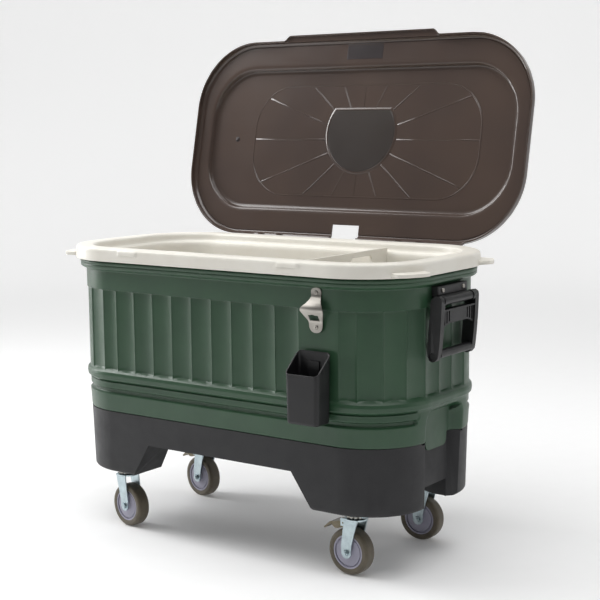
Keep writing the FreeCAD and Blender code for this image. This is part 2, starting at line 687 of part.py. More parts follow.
def handleBail():
    """The swinging frame: two arms with pivot collars, a web, a hand gap and a grip."""
    pivotX, pivotZ = dim("pivotX"), dim("pivotZ")
    wide, thick = dim("bailWide"), dim("armWide")
    inside = wide - thick
    armFace = [(-17, -2), (-15, 5), (-8, 10), (2, 11), (8, 7), (9.5, 0), (8, -40), (5, -80),
               (2, -108), (0, -118), (-6, -125), (-13, -127), (-20, -124), (-24, -116),
               (-25, -102), (-22, -60), (-18, -20)]
    arm = prism([(pivotX + x, pivotZ + z) for x, z in armFace], Vector(0, thick, 0), "y")
    arms = []
    for start, face in ((-wide, -wide), (inside, wide)):
        piece = arm.copy()
        piece.translate(Vector(0, start, 0))
        well = Part.makeCylinder(8.5, 6, Vector(pivotX - 12.8, face - 3, pivotZ - 115.3),
                                 Vector(0, 1, 0))
        arms.append(piece.cut(well))
    collar = Part.makeCylinder(11, 2 * inside + 1, Vector(pivotX, -inside - 0.5, pivotZ),
                               Vector(0, 1, 0))
    gap = inside - 8.6
    collar = collar.cut(Part.makeBox(60, 2 * gap, 60, Vector(pivotX - 30, -gap, pivotZ - 30)))
    edge = inside + 1
    lower = [(edge, -58), (52, -52), (36, -48.5), (-36, -48.5), (-52, -52), (-edge, -58)]
    web = prism([(-edge, -18), (edge, -18)] + lower, Vector(7, 0, 0), "x")
    web.translate(Vector(pivotX - 3, 0, pivotZ))
    shelf = Part.makeBox(15, 2 * edge, 3.5, Vector(pivotX - 7, -edge, pivotZ - 21.5))
    slots = [Part.makeBox(30, 4.6, -22 - low, Vector(pivotX - 15, side * y - 2.3, pivotZ + low))
             for side in (-1, 1) for y, low in ((38, -45), (48, -48), (58, -51.5))]
    grip = Part.makeBox(19, 2 * edge, 17, Vector(pivotX - 17, -edge, pivotZ - 120))
    grip = rounded(grip, 7, lambda e: e.BoundBox.YLength > 100)
    frame = arms[0].fuse([arms[1], collar, web, shelf, grip]).cut(slots)
    bore = Part.makeCylinder(4.0, 2 * wide - 8, Vector(pivotX, -wide + 4, pivotZ),
                             Vector(0, 1, 0))
    return frame.cut(bore).removeSplitter()


def handlePin():
    pivotX, pivotZ, wide = dim("pivotX"), dim("pivotZ"), dim("bailWide")
    return Part.makeCylinder(4.0, 2 * wide - 8, Vector(pivotX, -wide + 4, pivotZ),
                             Vector(0, 1, 0))


def handleScrews():
    face = dim("shellX") + 15.8
    pieces = [screw(Vector(face, y, 610), Vector(-1, 0, 0), 2.5, 26, 5.0, 2.6)
              for y in (-43, 43)]
    return Part.makeCompound(pieces)


# ---------------------------------------------------------------- inside, opener and bin

def makeDivider():
    """A panel between the ribs, with a flared head and two finger slots."""
    low, neck = dim("tubFloor") + 0.3, dim("rimTop") - 38
    half = [(tubHalfWidth(low, 1.2), low), (tubHalfWidth(neck, 1.2), neck),
            (tubHalfWidth(neck, -5), neck + 28)]
    outline = [(-y, z) for y, z in half] + [(y, z) for y, z in half[::-1]]
    panel = prism(outline, Vector(dim("dividerWide"), 0, 0), "x")
    slots = [Part.makeBox(20, 86, 22, Vector(-10, y, neck - 6)) for y in (-120, 34)]
    slots = [rounded(slot, 9, lambda e: e.BoundBox.XLength > 10) for slot in slots]
    panel = panel.cut(slots)
    panel.translate(Vector(dim("dividerX") - dim("dividerWide") / 2, 0, 0))
    finish("divider", feature("Divider", panel))


def makeDrain():
    """Spout, gasket and nut through the left end, and the plug that closes it."""
    height, bore = dim("drainZ"), dim("drainBore")
    wallX = drainWallX()
    inner = -wallX + 1.0
    outer = -dim("recessFloor")
    along = Vector(-1, 0, 0)

    def disc(radius, start, length):
        return Part.makeCylinder(radius, length, Vector(start, 0, height), along)

    flange = disc(bore + 10, inner + 3.2, 2.6)
    tube = disc(bore + 3, inner + 3.2, inner + 3.2 - outer + 10)
    spout = flange.fuse(tube).cut(disc(bore, inner + 20, 120))
    finish("drain_spout", feature("DrainSpout", spout.removeSplitter()))
    gasket = disc(bore + 8, outer - 0.2, 2.0).cut(disc(bore + 3.1, outer + 5, 20))
    finish("drain_gasket", feature("DrainGasket", gasket))
    nut = hexagon(bore + 9, 5.0, outer - 2.4, height).cut(disc(bore + 3.1, outer + 5, 40))
    finish("drain_nut", feature("DrainNut", nut))
    stem = disc(bore - 0.3, outer + 2, 15)
    cap = disc(bore + 6, outer - 10.3, 6)
    tab = Part.makeBox(6, 8, 20, Vector(outer - 19, -4, height - bore - 18))
    finish("drain_plug", feature("DrainPlug", stem.fuse([cap, tab]).removeSplitter()))


def drainWallX():
    """Half the length of the tub inside, at the height of the drain."""
    top, floor = dim("rimTop") - 36, dim("tubFloor")
    share = (dim("drainZ") - floor) / (top - floor)
    return dim("rimX") - 78 + 18 * share


def hexagon(radius, length, start, height):
    corners = [(radius * math.cos(k * math.pi / 3), height + radius * math.sin(k * math.pi / 3))
               for k in range(6)]
    nut = prism(corners, Vector(-length, 0, 0), "x")
    nut.translate(Vector(start, 0, 0))
    return nut


def makeOpener():
    """A bent steel plate with a tooth opening, held by two screws."""
    middle = 280.0
    front = -(dim("shellY") + 0.2)
    bend = [(front, 622), (front, 600), (front - 15, 580), (front - 15, 572), (front - 2, 556),
            (front - 2, 527)]
    back = [(y - 2.2, z) for y, z in bend]
    strip = prism([(y, z) for y, z in bend + back[::-1]], Vector(64, 0, 0), "x")
    strip.translate(Vector(middle - 36, 0, 0))
    outline = [(-14, 621), (14, 621), (15, 602), (25, 582), (25, 572), (14, 548), (10, 532),
               (0, 527), (-10, 532), (-15, 548), (-34, 570), (-34, 580), (-16, 602)]
    face = prism([(middle + x, z) for x, z in outline], Vector(0, -60, 0), "y")
    face.translate(Vector(0, front + 20, 0))
    mouth = prism([(middle - 18, 566), (middle - 12, 554), (middle + 8, 554), (middle + 13, 566),
                   (middle + 4, 567), (middle - 3, 563), (middle - 10, 567)],
                  Vector(0, -60, 0), "y")
    mouth.translate(Vector(0, front + 20, 0))
    holes = [Part.makeCylinder(2.7, 60, Vector(middle + dx, front + 20, z), Vector(0, -1, 0))
             for dx, z in ((0, 611), (1, 539))]
    plate = strip.common(face).cut([mouth] + holes)
    finish("bottle_opener", feature("BottleOpener", plate.removeSplitter()))
    screws = [screw(Vector(middle, front - 2.3, 611), Vector(0, 1, 0), 2.5, 14, 4.6, 2.4),
              screw(Vector(middle + 1, front - 4.3, 539), Vector(0, 1, 0), 2.5, 16, 4.6, 2.4)]
    finish("opener_screws", feature("OpenerScrews", Part.makeCompound(screws)))


def makeBin():
    """The catch bin and the hanger that it lifts off."""
    middle, half = dim("binX"), dim("binWide") / 2
    back, front = -222.5, -274.0
    low, high, rear = 342.0, 446.0, 490.0
    side = [(back, low), (front + 2, low), (front, high), (back, rear)]
    block = prism(side, Vector(2 * half, 0, 0), "x")
    block = rounded(block, 5, lambda e: e.BoundBox.XLength < 1 and e.BoundBox.YMax < front + 3)
    hollow = prism([(back - 2.5, low + 2.5), (front + 4.5, low + 2.5), (front + 2.5, 520),
                    (back - 2.5, 520)], Vector(2 * half - 5, 0, 0), "x")
    hollow.translate(Vector(2.5, 0, 0))
    bin = block.cut(hollow)
    bin.translate(Vector(middle - half, 0, 0))
    wide = Part.makeBox(33, 10, 36, Vector(middle - 16.5, back - 6, 406))
    slot = Part.makeBox(13.4, 10, 40, Vector(middle - 6.7, back - 6, 430.4))
    finish("cap_catch_bin", feature("CatchBin", bin.cut([wide, slot]).removeSplitter()))
    wall = -(dim("shellY") - 1.7)
    plate = Part.makeBox(44, 3, 44, Vector(middle - 22, wall - 3, 434))
    neck = Part.makeBox(12.4, 14, 24, Vector(middle - 6.2, wall - 14, 446))
    head = Part.makeBox(28, 3, 28, Vector(middle - 14, wall - 14, 442))
    holes = [Part.makeCylinder(2.2, 12, Vector(middle + dx, wall + 2, 456), Vector(0, -1, 0))
             for dx in (-15, 15)]
    hanger = plate.fuse([neck, head]).cut(holes).removeSplitter()
    finish("bin_hanger", feature("BinHanger", hanger))
    screws = [screw(Vector(middle + dx, wall - 3.1, 456), Vector(0, 1, 0), 2.0, 13, 3.8, 1.8)
              for dx in (-15, 15)]
    finish("bin_hanger_screws", feature("BinHangerScrews", Part.makeCompound(screws)))


# ---------------------------------------------------------------- casters

casters = [("front_left", -1, -1, -9.0, False), ("front_right", 1, -1, 178.0, True),
           ("rear_left", -1, 1, 170.0, True), ("rear_right", 1, 1, 182.0, False)]


def casterPlace(sideX, sideY, heading):
    """Where a caster's king pin stands, and which way its wheel trails."""
    base = Vector(sideX * dim("casterX"), sideY * dim("casterY") - dim("tubShift"), 0)
    return Placement(base, Rotation(Vector(0, 0, 1), heading))


def plateHoles():
    """The sixteen bolt holes in the undersides of the legs."""
    return [Vector(sideX * dim("casterX") + dx, sideY * dim("casterY") + dy, 0)
            for _, sideX, sideY, _, _ in casters for dx in (-35, 35) for dy in (-24, 24)]


def makeCasters():
    balls = []
    bolts = []
    top = dim("baseBottom") - 0.2
    for name, sideX, sideY, heading, brakes in casters:
        title = name.title().replace("_", "")
        fixed = casterPlace(sideX, sideY, 0)
        turned = casterPlace(sideX, sideY, heading)
        finish(f"caster_{name}_plate", feature(f"Plate{title}", casterPlate(top)), fixed)
        finish(f"caster_{name}_kingpin", feature(f"Kingpin{title}", kingPin(top)), fixed)
        finish(f"caster_{name}_fork", feature(f"Fork{title}", casterFork(brakes)), turned)
        finish(f"caster_{name}_axle", feature(f"Axle{title}", wheelAxle()), turned)
        finish(f"caster_{name}_hub", feature(f"Hub{title}", wheelHub()), turned)
        finish(f"caster_{name}_tyre", feature(f"Tyre{title}", wheelTyre()), turned)
        if brakes:
            finish(f"caster_{name}_brake", feature(f"Brake{title}", brakePedal()), turned)
        for ball in bearingBalls():
            ball.Placement = fixed
            balls.append(ball)
    for point in plateHoles():
        seat = point + Vector(0, 0, top - 3.2)
        bolts.append(screw(seat, Vector(0, 0, 1), 3.0, 14, 5.4, 2.8))
    finish("caster_bearing_balls", feature("BearingBalls", Part.makeCompound(balls)), Placement())
    finish("caster_plate_bolts", feature("PlateBolts", Part.makeCompound(bolts)))


def casterPlate(top):
    """The mounting plate with its pressed dome over the bearing."""
    plate = Part.makeBox(92, 68, 3, Vector(-46, -34, top - 3))
    plate = rounded(plate, 8, upright)
    dome = Part.makeCylinder(23, 3.4, Vector(0, 0, top - 6.4))
    holes = [Part.makeCylinder(3.2, 10, Vector(dx, dy, top - 5))
             for dx in (-35, 35) for dy in (-24, 24)]
    bore = Part.makeCylinder(5.0, 20, Vector(0, 0, top - 10))
    return plate.fuse(dome).cut(holes + [bore])


def kingPin(top):
    """The rivet that the fork turns about."""
    shaft = Part.makeCylinder(5.0, top - 118, Vector(0, 0, 118))
    head = Part.makeCylinder(9.0, 3.4, Vector(0, 0, dim("forkTop") - 6.9))
    return shaft.fuse(head)


def bearingBalls():
    low = dim("forkTop")
    high = dim("baseBottom") - 0.2 - 6.4
    radius = (high - low) / 2 - 0.06
    return [Part.makeSphere(radius, Vector(17 * math.cos(k * math.pi / 6),
                                           17 * math.sin(k * math.pi / 6), (low + high) / 2))
            for k in range(12)]


def casterFork(brakes):
    """A pressed fork: a round crown and two legs down to the axle."""
    top, trail, axle = dim("forkTop"), dim("trail"), dim("wheelRadius")
    half = dim("treadWide") / 2 + 2.6
    crown = Part.makeCylinder(24.5, 3.2, Vector(0, 0, top - 3.2))
    bridge = Part.makeBox(34, 2 * half + 5.6, 3.2, Vector(-17, -half - 2.8, top - 3.2))
    legFace = [(-17, top), (17, top), (trail + 13, axle + 14), (trail + 12, axle - 4),
               (trail + 7, axle - 11), (trail, axle - 13), (trail - 7, axle - 11),
               (trail - 12, axle - 4), (trail - 13, axle + 14)]
    leg = prism(legFace, Vector(0, 2.8, 0), "y")
    legs = []
    for start in (-half - 2.8, half):
        piece = leg.copy()
        piece.translate(Vector(0, start, 0))
        legs.append(piece)
    bore = Part.makeCylinder(5.06, 10, Vector(0, 0, top - 6))
    hole = Part.makeCylinder(dim("axleRadius"), 80, Vector(trail, -40, axle), Vector(0, 1, 0))
    fork = crown.fuse([bridge] + legs).cut([bore, hole])
    if brakes:
        lugs = [Part.makeBox(14, 2.8, 17, Vector(12, y, top - 17)) for y in (-half - 2.8, half)]
        fork = fork.fuse(lugs)
        pivot = Part.makeCylinder(2.05, 80, Vector(*brakePivot()), Vector(0, 1, 0))
        pivot.translate(Vector(0, -40, 0))
        fork = fork.cut(pivot)
    return fork.removeSplitter()


def brakePivot():
    return (20.0, 0.0, dim("forkTop") - 10.0)


def brakePedal():
    """The foot pedal with its cross pin, over the back of the wheel."""
    x, _, z = brakePivot()
    half = dim("treadWide") / 2 + 2.6
    pin = Part.makeCylinder(2.0, 2 * half + 5.6, Vector(x, -half - 2.8, z), Vector(0, 1, 0))
    arm = prism([(x - 4, z - 3.4), (x + 6, z - 14), (x + 24, z - 16), (x + 34, z - 8),
                 (x + 50, z - 20), (x + 53, z - 18), (x + 37, z - 4), (x + 6, z + 3.4),
                 (x - 4, z + 3.4)],
                Vector(0, 2 * half - 1.2, 0), "y")
    arm.translate(Vector(0, -half + 0.6, 0))
    wheelRoom = Part.makeCylinder(dim("wheelRadius") + 3.5, 80,
                                  Vector(dim("trail"), -40, dim("wheelRadius")), Vector(0, 1, 0))
    return pin.fuse(arm.cut(wheelRoom)).removeSplitter()


def wheelAxle():
    """A bolt through the fork, with its head and its lock nut."""
    trail, height = dim("trail"), dim("wheelRadius")
    half = dim("treadWide") / 2 + 2.6 + 2.8
    shaft = Part.makeCylinder(dim("axleRadius"), 2 * half + 8, Vector(trail, -half, height),
                              Vector(0, 1, 0))
    ends = []
    for start, length in ((-half - 4.4, 4.4), (half + 0.05, 5.6)):
        corners = [(trail + 7 * math.cos(k * math.pi / 3), height + 7 * math.sin(k * math.pi / 3))
                   for k in range(6)]
        nut = prism(corners, Vector(0, length, 0), "y")
        nut.translate(Vector(0, start, 0))
        ends.append(nut)
    return shaft.fuse(ends).removeSplitter()


def turned(profile):
    """A turned piece of the wheel, placed on the axle."""
    solid = revolve(profile)
    solid.translate(Vector(dim("trail"), 0, dim("wheelRadius")))
    return solid


def wheelHub():
    bore = dim("axleRadius") + 0.05
    half = dim("treadWide") / 2
    side = [(bore, half + 1.6), (11, half + 1.6), (12, half - 1), (14, half - 2.5),
            (30.5, half - 2.5), (31, half - 5), (33, half - 5), (33.5, half - 1.2), (37, half - 1.2)]
    return turned(side + [(radius, -along) for radius, along in side[::-1]])


def wheelTyre():
    outer, half = dim("wheelRadius"), dim("treadWide") / 2
    side = [(37.0, half - 1.2), (39, half - 0.4), (45, half), (48.5, half - 1.5), (50.3, half - 5),
            (outer, half - 9)]
    return turned(side + [(radius, -along) for radius, along in side[::-1]])


# ---------------------------------------------------------------- build and write

makeShell()
makeLiner()
makeFoam()
makeBase()
makeLid()
makeHinges()
makeHandles()
makeDivider()
makeDrain()
makeOpener()
makeBin()
makeCasters()
doc.recompute()

for item in doc.Objects:
    assert not {"Invalid", "Error"} & set(item.State), f"{item.Label} failed: {item.State}"
for item in subParts:
    assert not item.Shape.isNull(), f"{item.Label} is empty"
    assert item.Shape.isValid(), f"{item.Label} is not valid"
    assert item.Shape.Volume > 1, f"{item.Label} has no volume"

os.makedirs("parts", exist_ok=True)
whole = Part.makeCompound([item.Shape for item in subParts]).BoundBox
print(f"box x {whole.XMin:.1f} {whole.XMax:.1f}  y {whole.YMin:.1f} {whole.YMax:.1f}"
      f"  z {whole.ZMin:.1f} {whole.ZMax:.1f}  middle y {(whole.YMin + whole.YMax) / 2:.2f}")
for item in subParts:
    item.Shape.exportStep(f"parts/{item.Label}.step")
    print(f"{item.Label:32s} {item.Shape.Volume / 1000:9.1f} cm3  solids {len(item.Shape.Solids)}")
print(len(subParts), "sub-parts written")
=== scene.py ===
import json
import math

import bmesh
import bpy
import numpy as np
from mathutils import Matrix, Vector


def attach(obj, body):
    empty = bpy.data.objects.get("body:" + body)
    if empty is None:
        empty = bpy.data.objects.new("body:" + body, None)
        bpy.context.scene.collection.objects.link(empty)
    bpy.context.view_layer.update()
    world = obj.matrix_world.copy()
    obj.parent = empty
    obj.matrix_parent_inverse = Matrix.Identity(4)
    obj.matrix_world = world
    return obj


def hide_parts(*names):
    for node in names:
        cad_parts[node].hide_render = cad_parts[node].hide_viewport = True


# Garden cooler on casters, lid open. Blender units are metres, sizes below are in
# millimetres about the middle of the tub and are shifted by tubBack when a mesh is made.

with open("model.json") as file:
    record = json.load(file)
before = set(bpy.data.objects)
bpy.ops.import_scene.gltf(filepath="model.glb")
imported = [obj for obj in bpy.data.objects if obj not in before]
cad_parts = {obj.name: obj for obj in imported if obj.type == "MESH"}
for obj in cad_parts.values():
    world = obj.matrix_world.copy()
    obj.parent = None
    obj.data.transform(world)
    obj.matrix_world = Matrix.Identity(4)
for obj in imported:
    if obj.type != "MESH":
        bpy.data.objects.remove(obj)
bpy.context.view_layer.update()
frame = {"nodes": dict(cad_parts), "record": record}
tubBack = 61.26  # mm, the tub's middle stands this far in front of the origin
print("frame loaded,", len(frame["nodes"]), "nodes")


# small tools

def toLinear(hexColour):
    # sRGB hex to linear rgb, the usual two-part curve
    parts = [int(hexColour[k:k + 2], 16) / 255 for k in (1, 3, 5)]
    return [c / 12.92 if c <= 0.04045 else ((c + 0.055) / 1.055) ** 2.4 for c in parts] + [1.0]


def addNode(tree, kind, settings=None, links=None):
    # settings are properties or socket values, links are socket -> output that feeds it
    node = tree.nodes.new(kind)
    for key, value in (settings or {}).items():
        if isinstance(key, str) and hasattr(node, key):
            setattr(node, key, value)
        else:
            node.inputs[key].default_value = value
    for key, output in (links or {}).items():
        tree.links.new(output, node.inputs[key])
    return node


def newMaterial(name, settings):
    # a fresh material, its tree and shader, and the piece's own coordinates in mm
    material = bpy.data.materials.new(name)
    material.use_nodes = True
    tree = material.node_tree
    shader = tree.nodes["Principled BSDF"]
    for key, value in settings.items():
        shader.inputs[key].default_value = value
    place = addNode(tree, "ShaderNodeTexCoord")
    inMm = addNode(tree, "ShaderNodeMapping", {"Scale": (1000, 1000, 1000)},
                   {"Vector": place.outputs["Object"]})
    return material, tree, shader, inMm.outputs["Vector"]


def outline(halfX, halfY, corner, along):
    # rounded rectangle by length from the middle of its front, going right: point and outward normal
    flatX, flatY, bend = halfX - corner, halfY - corner, corner * math.pi / 2
    quarter = flatX + bend + flatY
    s = np.mod(np.asarray(along, float), 4 * quarter)
    side = np.floor(s / quarter).astype(int)
    t = s - side * quarter
    t = np.where(side % 2 == 1, quarter - t, t)
    angle = np.clip((t - flatX) / corner, 0, math.pi / 2)
    x = np.minimum(t, flatX) + corner * np.sin(angle)
    y = -(flatY + corner * np.cos(angle)) + np.maximum(t - flatX - bend, 0)
    nx, ny = np.sin(angle), -np.cos(angle)
    mirrorX = np.where((side == 2) | (side == 3), -1.0, 1.0)
    mirrorY = np.where((side == 1) | (side == 2), -1.0, 1.0)
    return np.stack([x * mirrorX, y * mirrorY], -1), np.stack([nx * mirrorX, ny * mirrorY], -1)


def quarterLength(halfX, halfY, corner):
    return halfX - corner + corner * math.pi / 2 + halfY - corner


def sheetFaces(keep, count, columns):
    # cells of two matching sheets, closed along the last row and round every cell left out
    below = np.vstack([keep[1:], np.zeros((1, columns), bool)])
    above = np.vstack([np.ones((1, columns), bool), keep[:-1]])
    cells = np.arange(count * columns).reshape(count, columns)
    a, b = cells[:-1], np.roll(cells, -1, 1)[:-1]
    c, d = np.roll(cells, -1, 1)[1:], cells[1:]
    far = count * columns
    parts = [(keep, (a, d, c, b)), (keep, (a + far, b + far, c + far, d + far)),
             (keep & ~below, (d, d + far, c + far, c)), (keep & ~above, (b, b + far, a + far, a)),
             (keep & ~np.roll(keep, -1, 1), (b, c, c + far, b + far)),
             (keep & ~np.roll(keep, 1, 1), (a, a + far, d + far, d))]
    return [face for mask, corners in parts for face in np.stack(corners, -1)[mask].tolist()]


def softProfile(knots, blur):
    # straight lines between (place, value) knots, rounded by a raised-cosine average of this width
    places = np.array([k[0] for k in knots], float)
    values = np.array([k[1] for k in knots], float)
    fine = np.arange(places[0] - 3 * blur, places[-1] + 3 * blur, 0.2)
    raw = np.interp(fine, places, values)
    window = np.hanning(max(3, int(2 * blur / 0.2) | 1))
    smooth = np.convolve(np.pad(raw, len(window) // 2, mode="edge"), window / window.sum(), "valid")
    return lambda z: np.interp(z, fine, smooth)


def step(value, start, end):
    t = np.clip((value - start) / (end - start), 0, 1)
    return t * t * (3 - 2 * t)


def putMesh(name, vertices, faces, smoothAngle=35):
    mesh = bpy.data.meshes.new(name)
    points = np.asarray(vertices, float) / 1000
    mesh.from_pydata(points.tolist(), [], faces)
    mesh.validate()
    piece = bpy.data.objects.new(name, mesh)
    bpy.context.scene.collection.objects.link(piece)
    mesh.polygons.foreach_set("use_smooth", [True] * len(mesh.polygons))
    mesh.set_sharp_from_angle(angle=math.radians(smoothAngle))
    return piece


def gridFaces(rows, columns, wrapRows=False, wrapColumns=False, start=0):
    # one four-sided face for each cell of the grid
    r = np.arange(rows if wrapRows else rows - 1)
    c = np.arange(columns if wrapColumns else columns - 1)
    r, c = np.meshgrid(r, c, indexing="ij")
    nextR, nextC = (r + 1) % rows, (c + 1) % columns
    cells = np.stack([r * columns + c, r * columns + nextC,
                      nextR * columns + nextC, nextR * columns + c], -1).reshape(-1, 4)
    return (cells + start).tolist()


def tubSpace(points):
    # from about the tub's middle to the frame's origin
    return points + np.array([0, -tubBack, 0])


def makeFacesPointOut(piece):
    shape = bmesh.new()
    shape.from_mesh(piece.data)
    bmesh.ops.recalc_face_normals(shape, faces=shape.faces)
    shape.to_mesh(piece.data)
    shape.free()


def softenedCopy(node, width):
    # the node's own shape with its triangles merged and its edges rounded by a bevel
    mesh = frame["nodes"][node].data.copy()
    shape = bmesh.new()
    shape.from_mesh(mesh)
    bmesh.ops.remove_doubles(shape, verts=shape.verts, dist=2e-6)
    bmesh.ops.dissolve_limit(shape, angle_limit=math.radians(1.5), verts=shape.verts,
                             edges=shape.edges)
    shape.to_mesh(mesh)
    shape.free()
    piece = bpy.data.objects.new(node + "_finished", mesh)
    bpy.context.scene.collection.objects.link(piece)
    mesh.polygons.foreach_set("use_smooth", [True] * len(mesh.polygons))
    mesh.set_sharp_from_angle(angle=math.radians(32))
    bevel = piece.modifiers.new("edges", "BEVEL")
    bevel.width, bevel.segments = width / 1000, 2
    bevel.limit_method, bevel.angle_limit = "ANGLE", math.radians(30)
    bevel.harden_normals = True
    piece.data.materials.clear()
    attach(piece, bodyOf[node])
    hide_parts(node)
    return piece


bodyOf = {node: body for body, nodes in frame["record"]["behaviour"]["bodies"].items()
          for node in nodes}


# finishes

def mouldedPlastic(name, colour, shade, rough, grain, coat=0.0, mottle=0.06):
    # polypropylene or polyethylene: soft broad sheen, faint flow mottling and a fine spark-eroded
    # grain, scratches too fine to see one by one
    material, tree, shader, mm = newMaterial(name, {
        "IOR": 1.49, "Metallic": 0.0, "Coat Weight": coat, "Coat Roughness": 0.22})
    flow = addNode(tree, "ShaderNodeTexNoise", {"Scale": 0.012, "Detail": 3.0, "Roughness": 0.55},
                   {"Vector": mm})
    blend = addNode(tree, "ShaderNodeMapRange", {"From Min": 0.35, "From Max": 0.65},
                    {"Value": flow.outputs["Fac"]})
    tone = addNode(tree, "ShaderNodeMix", {"data_type": "RGBA", 6: toLinear(colour), 7: toLinear(shade)},
                   {0: blend.outputs["Result"]})
    specks = addNode(tree, "ShaderNodeTexNoise", {"Scale": 0.9, "Detail": 2.0}, {"Vector": mm})
    speckMask = addNode(tree, "ShaderNodeMapRange", {"From Min": 0.62, "From Max": 0.8, "To Max": mottle},
                        {"Value": specks.outputs["Fac"]})
    pale = addNode(tree, "ShaderNodeMix", {"data_type": "RGBA", 7: toLinear("#a9a79f")},
                   {0: speckMask.outputs["Result"], 6: tone.outputs[2]})
    tree.links.new(pale.outputs[2], shader.inputs["Base Color"])
    wear = addNode(tree, "ShaderNodeTexNoise", {"Scale": 0.03, "Detail": 5.0, "Roughness": 0.6},
                   {"Vector": mm})
    roughness = addNode(tree, "ShaderNodeMapRange",
                        {"From Min": 0.3, "From Max": 0.7, "To Min": rough - 0.05, "To Max": rough + 0.07},
                        {"Value": wear.outputs["Fac"]})
    tree.links.new(roughness.outputs["Result"], shader.inputs["Roughness"])
    # real grain is about 0.1 mm, drawn at about 1 mm so that it shows at all
    pits = addNode(tree, "ShaderNodeTexVoronoi", {"Scale": 0.9, "Randomness": 1.0}, {"Vector": mm})
    bump = addNode(tree, "ShaderNodeBump", {"Strength": grain, "Distance": 0.0001},
                   {"Height": pits.outputs["Distance"]})
    tree.links.new(bump.outputs["Normal"], shader.inputs["Normal"])
    return material


def sheetMetal(name, colour, shade, rough, drawn, direction=(1, 1, 1), spangle=0.02):
    # metal with a drawn or plated skin: hairlines along one direction and a faint cloudiness
    material, tree, shader, mm = newMaterial(name, {"Metallic": 1.0})
    lay = addNode(tree, "ShaderNodeMapping", {"Scale": direction}, {"Vector": mm})
    hair = addNode(tree, "ShaderNodeTexNoise", {"Scale": drawn, "Detail": 3.0},
                   {"Vector": lay.outputs["Vector"]})
    cloud = addNode(tree, "ShaderNodeTexVoronoi", {"Scale": spangle}, {"Vector": mm})
    fac = addNode(tree, "ShaderNodeMath", {"operation": "MULTIPLY"},
                  {0: hair.outputs["Fac"], 1: cloud.outputs["Distance"]})
    reach = addNode(tree, "ShaderNodeMapRange", {"From Min": 0.0, "From Max": 0.5},
                    {"Value": fac.outputs["Value"]})
    tone = addNode(tree, "ShaderNodeMix", {"data_type": "RGBA", 6: toLinear(colour), 7: toLinear(shade)},
                   {0: reach.outputs["Result"]})
    tree.links.new(tone.outputs[2], shader.inputs["Base Color"])
    worn = addNode(tree, "ShaderNodeMapRange",
                   {"From Min": 0.3, "From Max": 0.7, "To Min": rough - 0.06, "To Max": rough + 0.08},
                   {"Value": hair.outputs["Fac"]})
    tree.links.new(worn.outputs["Result"], shader.inputs["Roughness"])
    bump = addNode(tree, "ShaderNodeBump", {"Strength": 0.12, "Distance": 0.00005},
                   {"Height": hair.outputs["Fac"]})
    tree.links.new(bump.outputs["Normal"], shader.inputs["Normal"])
    return material


def castRubber(name, colour, shade, rough):
    # thermoplastic rubber: matt, a little floor dust held in its surface
    material, tree, shader, mm = newMaterial(name, {
        "IOR": 1.52, "Sheen Weight": 0.15, "Sheen Roughness": 0.6})
    cloud = addNode(tree, "ShaderNodeTexNoise", {"Scale": 0.06, "Detail": 5.0, "Roughness": 0.65},
                    {"Vector": mm})
    reach = addNode(tree, "ShaderNodeMapRange", {"From Min": 0.35, "From Max": 0.68},
                    {"Value": cloud.outputs["Fac"]})
    tone = addNode(tree, "ShaderNodeMix", {"data_type": "RGBA", 6: toLinear(colour), 7: toLinear(shade)},
                   {0: reach.outputs["Result"]})
    tree.links.new(tone.outputs[2], shader.inputs["Base Color"])
    worn = addNode(tree, "ShaderNodeMapRange", {"To Min": rough - 0.08, "To Max": rough + 0.08},
                   {"Value": cloud.outputs["Fac"]})
    tree.links.new(worn.outputs["Result"], shader.inputs["Roughness"])
    pores = addNode(tree, "ShaderNodeTexNoise", {"Scale": 1.1, "Detail": 3.0}, {"Vector": mm})
    bump = addNode(tree, "ShaderNodeBump", {"Strength": 0.3, "Distance": 0.0002},
                   {"Height": pores.outputs["Fac"]})
    tree.links.new(bump.outputs["Normal"], shader.inputs["Normal"])
    return material


greenPolyethylene = mouldedPlastic(
    "green blow-moulded polyethylene", "#2c4c34", "#274630", 0.4, 0.25, coat=0.06)
whitePolypropylene = mouldedPlastic(
    "white injection-moulded polypropylene", "#e8e5dc", "#e3dfd5", 0.36, 0.15, mottle=0.02)
charcoalPolypropylene = mouldedPlastic(
    "charcoal injection-moulded polypropylene", "#19191c", "#161619", 0.5, 0.35)
blackAbs = mouldedPlastic("black glass-filled nylon", "#18181a", "#151517", 0.42, 0.4)
greyHub = mouldedPlastic(
    "lavender-grey moulded polypropylene", "#a5a3b4", "#9a98a8", 0.42, 0.15, mottle=0.03)
stainlessSteel = sheetMetal("brushed stainless steel", "#b5b1aa", "#9c9892", 0.36, 0.8, (1, 1, 12))
zincSteel = sheetMetal("blue zinc-plated steel", "#c4d2d6", "#aebcc2", 0.36, 0.35, (1, 1, 1), 0.06)
brakeSteel = sheetMetal("yellow-bronze plated steel", "#7b7466", "#69624f", 0.42, 0.4, (1, 1, 1), 0.05)
tyreRubber = castRubber("olive thermoplastic rubber tyre", "#544c3d", "#645b49", 0.6)
blackRubber = castRubber("black nitrile rubber", "#1e1e1e", "#262625", 0.55)
foamMaterial = castRubber("pale rigid polyurethane foam", "#d9c37f", "#cfb76d", 0.8)


